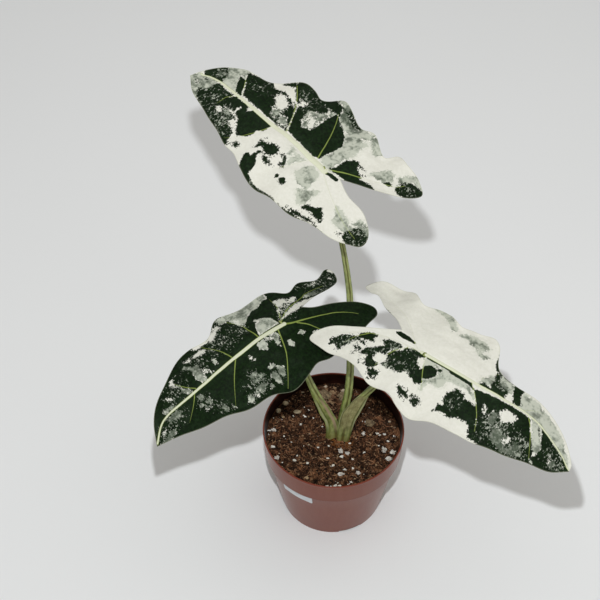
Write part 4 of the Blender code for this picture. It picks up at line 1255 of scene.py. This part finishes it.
def blade_paint(under):
    """The paint of a blade's upper face, or of its paler underside."""
    def paint(start):
        place = start.node("Attribute", {"attribute_name": "place"}, {}, 1)
        ragged = start.held("ragged")
        specks = start.held("specks")
        coarse = place.grain(0.26, 6, 0.78) - 0.5
        fine = place.stretch(1, 0.75, 1).grain(0.85, 4, 0.7) - 0.5
        fray = (coarse * 13.0 + fine * 9.0) * ragged + fine * 0.8
        dark_mask = (start.held("dark") + fray).mask(-0.15, 0.15)
        torn = place.stretch(1, 0.7, 1).grain(0.60, 5, 0.72) - 0.5
        drift = place.grain(0.16, 2, 0.5) - 0.5
        soft = torn * (6.0 + ragged * 10.0) + drift * 6.0
        mint_mask = (start.held("mint") + soft + specks * 4).mask(-0.35, 0.30)
        halo = (start.held("mint") + soft * 1.8 + 1.3).mask(-0.4, 0.6)
        flecks = place.stretch(1.35, 0.70, 1).grain(0.58, 5, 0.70)
        clumps = place.grain(0.13, 3, 0.6)
        crowd = specks * (clumps.mask(0.36, 0.62) * 0.85 + 0.15)
        fleck_mask = (flecks + crowd * 0.17).mask(0.625, 0.66) * crowd.mask(0.02, 0.15)
        mottle = place.grain(0.42, 5, 0.68)
        light = mottle.mask(0.3, 0.7).pick(cream, cream_shaded)
        cloudy = mottle * 0.9 + torn * 0.9 + drift * 1.6 - ragged * 0.35 - specks * 0.38 + 0.30
        pale = (cloudy - 0.14).mask(0.1, 0.60).pick(mint_deep, mint)
        pale = cloudy.mask(0.52, 0.85).pick(pale, mint_pale)
        deep = (mottle * 0.8 + fine * 0.5 + 0.10).mask(0.3, 0.75).pick(darkest, dark_green)
        # Painted sheen: the dark tissue greys in drifting patches and in a band beside the midrib,
        # for the light it reflects.
        painted_sheen = (drift + mottle * 0.4).mask(0.22, 0.42) + start.held("rib").mask(-11, -1)
        deep = (painted_sheen * 0.25).pick(deep, dark_sheen)
        spotted = (drift * 1.5 + fine + 0.15).mask(0.2, 0.6).pick(mint, cream)
        deep = (fleck_mask * 0.85).pick(deep, spotted)
        light = (halo * 0.22).pick(light, mint_pale)
        skin = (mint_mask * ((torn + drift * 0.6).mask(-0.22, 0.06) * 0.22 + 0.78)).pick(light, pale)
        skin = dark_mask.pick(skin, deep)
        margin = 1 - start.held("edge").mask(0.05, 0.7)
        skin = (margin * 0.40).pick(skin, (0.42, 0.44, 0.31, 1))
        shade = dark_mask.sum("MAXIMUM", dark_mask, mint_mask * 0.6)
        vein = (start.held("vein") + fine * 0.3).mask(-0.10, 0.25)
        skin = (vein * (shade * 0.45 + 0.35)).pick(skin, shade.pick(vein_pale, vein_green))
        rib = start.held("rib") + fine * 0.3
        skin = rib.mask(-0.40, 0.0).pick(skin, shade.pick(vein_pale, vein_green))
        skin = rib.mask(-0.15, 0.30).pick(skin, rib_cream)
        if under:
            skin = (mottle * 0.2 + 0.40).pick(skin, (0.30, 0.34, 0.22, 1))
        cells = place.grain(2.2, 2, 0.5)
        relief = cells * 0.3 + mottle * 0.45 + torn * 0.25
        return {"Base Color": skin, "Roughness": 0.42 + mottle * 0.12, "Specular IOR Level": 0.09,
                "Normal": relief.bump(0.22 * MM, 0.8)}
    return paint


def vein_rows(lines):
    """Points in rows along the veins: on their middles, on their edges and just outside."""
    rows = []
    for first_half, last_half, vein_points in lines:
        line = np.array(smooth_line(vein_points, 6))
        lengths = np.concatenate([[0], np.cumsum(np.hypot(*np.diff(line, axis=0).T))])
        stops = np.arange(0, lengths[-1], vein_row_step)
        middle = np.stack([np.interp(stops, lengths, line[:, 0]),
                           np.interp(stops, lengths, line[:, 1])], 1)
        ahead = np.gradient(middle, axis=0)
        normal = np.stack([-ahead[:, 1], ahead[:, 0]], 1) / np.hypot(*ahead.T)[:, None]
        halves = np.interp(stops, [0, lengths[-1]], [first_half, last_half])[:, None]
        for away in (halves * 0, -halves, halves, halves + vein_flank, -halves - vein_flank):
            rows.append(middle + normal * away)
    points = np.vstack(rows)
    keep = [0]
    for k in range(1, len(points)):
        if np.min(np.hypot(*(points[keep] - points[k]).T)) > point_gap:
            keep.append(k)
    return points[keep]


blade_finishes = [finish("blade_upper", blade_paint(False)), finish("blade_under", blade_paint(True))]
for side, leaf in blades.items():
    scale = leaf["blade_length"] / leaf["edge_length"]
    left = smooth_line(leaf["left_edge"], 8)
    right = smooth_line(leaf["right_edge"], 8)
    outline = np.array(left + right[-2:0:-1])
    lines = [leaf["midrib"], *leaf["veins"]]
    taken = vein_rows(lines)
    grid = hexagonal(outline.min(0), outline.max(0), blade_spacing, 0.12, 5)
    grid = grid[inside_by(grid, outline) > blade_spacing * 0.45]
    clear = np.array([np.min(np.hypot(*(taken - p).T)) > blade_spacing * 0.62 for p in grid])
    inside = np.vstack([taken[inside_by(taken, outline) > 0.35], grid[clear]])
    flat, triangles = cut_sheet(outline, inside)

    edge = np.maximum(inside_by(flat, outline), 0)
    rib_depth = np.full(len(flat), -field_reach)
    vein_depth = np.full(len(flat), -field_reach)
    for number, (first_half, last_half, vein_points) in enumerate(lines):
        away, along = from_segments(flat, smooth_line(vein_points, 6))
        depth = first_half + (last_half - first_half) * along - away
        target = vein_depth if number else rib_depth
        np.maximum(target, depth, out=target)
    dark, mint_field, ragged = tissue_fields(flat, leaf)

    x, y = (flat * scale).T
    near_vein = np.exp(np.minimum(vein_depth, 0) / quilt_reach)
    near_rib = np.exp(np.minimum(rib_depth, 0) / quilt_reach)
    quilt = -vein_sink * np.maximum(near_vein, near_rib)
    bulge = np.array([noise.noise(Vector((px * 0.09, py * 0.14, 3.0))) for px, py in flat])
    wrinkle = np.array([noise.noise(Vector((px * 0.30, py * 0.42, 8.0))) for px, py in flat])
    relief = quilt + bulge_height * (bulge - 0.5) + wrinkle_height * wrinkle
    ridge = (midrib_rise * np.clip(rib_depth / 1.2, 0, 1)
             + vein_rise * np.clip(vein_depth / 0.5, 0, 1))
    keel = (midrib_keel * np.clip((rib_depth + 0.8) / 1.6, 0, 1)
            + vein_keel * np.clip((vein_depth + 0.5) / 0.9, 0, 1))
    fade = np.clip(edge / margin_width, 0, 1)
    top_height = blade_height(leaf, x, y) + (relief + ridge) * fade - face_drop
    thickness = margin_thickness + (sheet_thickness - margin_thickness) * fade + keel * fade
    heading, rise = math.radians(leaf["heading"]), math.radians(leaf["rise"])
    forward = np.array([math.cos(rise) * math.cos(heading), math.cos(rise) * math.sin(heading),
                        math.sin(rise)])
    sideways = np.array([-math.sin(heading), math.cos(heading), 0])
    up = np.cross(forward, sideways)
    junction = np.array(stalk_points(stalks[side])[-1])
    plane = junction + (x[:, None] * forward + y[:, None] * sideways) * MM
    upper = plane + top_height[:, None] * up * MM
    lower = upper - thickness[:, None] * up * MM
    piece = two_faced(f"lamina_{side}", upper, lower, triangles, blade_finishes, 75)
    specks = np.zeros(len(flat))
    for centre_x, centre_y, reach, density in leaf["flecked"]:
        away = np.hypot(*(flat - (centre_x, centre_y)).T) / reach
        np.maximum(specks, density * np.clip(1.6 - 1.6 * away, 0, 1), out=specks)
    fields = {"dark": dark, "mint": mint_field, "ragged": ragged, "specks": specks,
              "rib": rib_depth, "vein": vein_depth, "edge": edge}
    for name, values in fields.items():
        hold(piece, name, np.concatenate([values, values]).astype(np.float32))
    spots = np.column_stack([np.vstack([flat, flat]), np.full(2 * len(flat), 7.0 * len(side))])
    held = piece.data.attributes.new("place", "FLOAT_VECTOR", "POINT")
    held.data.foreach_set("vector", spots.astype(np.float32).ravel())
    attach(piece, "root")
    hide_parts(f"blade_{side}")

# ---- Loose bits on the mix ----------------------------------------------------------------
# The largest bits lie free on the surface: popped white perlite, a few river pebbles and chips
# of bark. Each one fills the box of its own solid.

bit_looks = {
    "perlite": (10, "perlite_grain", 0.9, (0.40, 0.33, 0.27, 1), (0.95, 0.93, 0.90, 1), 600, 0.6),
    "pebble": (3, "pebble_stone", 0.12, (0.30, 0.22, 0.13, 1), (0.55, 0.46, 0.32, 1), 300, 0.15),
    "bark": (3, "bark_chip", 0.40, (0.045, 0.026, 0.015, 1), (0.33, 0.24, 0.14, 1), 420, 0.8),
}


def bit_paint(dull, bright, scale, depth):
    """Paints one kind of bit: mottled between two colours, pitted to a depth in millimetres."""
    def paint(start):
        place = start.place()
        grain = place.grain(scale, 5, 0.7)
        pits = place.grain(scale * 2.5, 2, 0.6)
        return {"Base Color": (grain * 0.7 + pits * 0.4).mask(0.35, 0.75).pick(dull, bright),
                "Roughness": 0.72 + pits * 0.25, "Specular IOR Level": 0.3,
                "Normal": (grain + pits).bump(depth * MM, 0.8)}
    return paint


for kind, (count, slot, roughness, dull, bright, scale, depth) in bit_looks.items():
    bit_finish = finish(f"{kind}_finish", bit_paint(dull, bright, scale, depth))
    for number in range(1, count + 1):
        low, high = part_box(f"{kind}_{number}")
        points, faces = lump((0, 0, 0), (1, 1, 1), 3, roughness, number * 5.3)
        spread = np.array([tuple(p) for p in points])
        spread = (spread - spread.min(0)) / (spread.max(0) - spread.min(0))
        points = np.array(low) + spread * np.array(high - low)
        piece = body(f"{kind}_bit_{number}", points, faces, bit_finish, 60)
        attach(piece, "root")
        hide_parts(f"{kind}_{number}")

# ---- The studio ---------------------------------------------------------------------------
# A pale floor, one small lamp just over the camera that lights near and far alike, a wide soft
# box overhead, and faint even light from all round. The camera looks down from the front.

camera_place = (-0.0284, -0.6524, 0.9896)
camera_pitch = math.radians(90 - 48.32)
camera_lens = 78
lamp_turn = math.radians(-94.4)
lamp_elevation = math.radians(57.3)
lamp_distance = 0.91
lamp_size = 0.018
lamp_power = 4.5
room_light = 0.28
box_size = 2.4
box_height = 2.0
box_power = 16.0
floor_half = 3.0
look_at = Vector((0, 0, 0.18))


def floor_paint(start):
    place = start.place()
    tone = place.grain(4, 3, 0.5)
    return {"Base Color": tone.pick((0.805, 0.81, 0.83, 1), (0.82, 0.825, 0.845, 1)),
            "Roughness": 0.75, "Specular IOR Level": 0.1}


corners = [(x * floor_half, y * floor_half, 0) for x, y in ((-1, -1), (1, -1), (1, 1), (-1, 1))]
floor = body("studio_floor", corners, [(0, 1, 2, 3)], finish("floor_card", floor_paint))

lamp_data = bpy.data.lights.new("soft_lamp", "AREA")
lamp_data.shape = "DISK"
lamp_data.size = lamp_size
lamp_data.energy = lamp_power
lamp_data.color = (0.97, 1.0, 1.0)
lamp_data.use_nodes = True
lamp_tree = lamp_data.node_tree
even = Wire(lamp_tree).node("LightFalloff", {}, {"Strength": 1.0}, 2)
lamp_tree.links.new(even.socket, lamp_tree.nodes["Emission"].inputs["Strength"])
lamp = bpy.data.objects.new("soft_lamp", lamp_data)
lamp.location = look_at + lamp_distance * Vector((
    math.cos(lamp_elevation) * math.cos(lamp_turn),
    math.cos(lamp_elevation) * math.sin(lamp_turn), math.sin(lamp_elevation)))
lamp.rotation_euler = (lamp.location - look_at).to_track_quat("Z", "Y").to_euler()
bpy.context.scene.collection.objects.link(lamp)

box_data = bpy.data.lights.new("soft_box", "AREA")
box_data.shape = "SQUARE"
box_data.size = box_size
box_data.energy = box_power
box_data.color = (1.0, 0.985, 0.93)
soft_box = bpy.data.objects.new("soft_box", box_data)
soft_box.location = (0.3, 0, box_height)
bpy.context.scene.collection.objects.link(soft_box)

world = bpy.data.worlds.new("studio")
world.use_nodes = True
world.node_tree.nodes["Background"].inputs["Color"].default_value = (1.0, 0.99, 0.94, 1)
world.node_tree.nodes["Background"].inputs["Strength"].default_value = room_light
bpy.context.scene.world = world
bpy.context.scene.view_settings.view_transform = "Standard"

camera_data = bpy.data.cameras.new("camera")
camera_data.lens = camera_lens
camera_data.sensor_width = 36
camera = bpy.data.objects.new("camera", camera_data)
camera.location = camera_place
camera.rotation_euler = (camera_pitch, 0, 0)
bpy.context.scene.collection.objects.link(camera)
bpy.context.scene.camera = camera
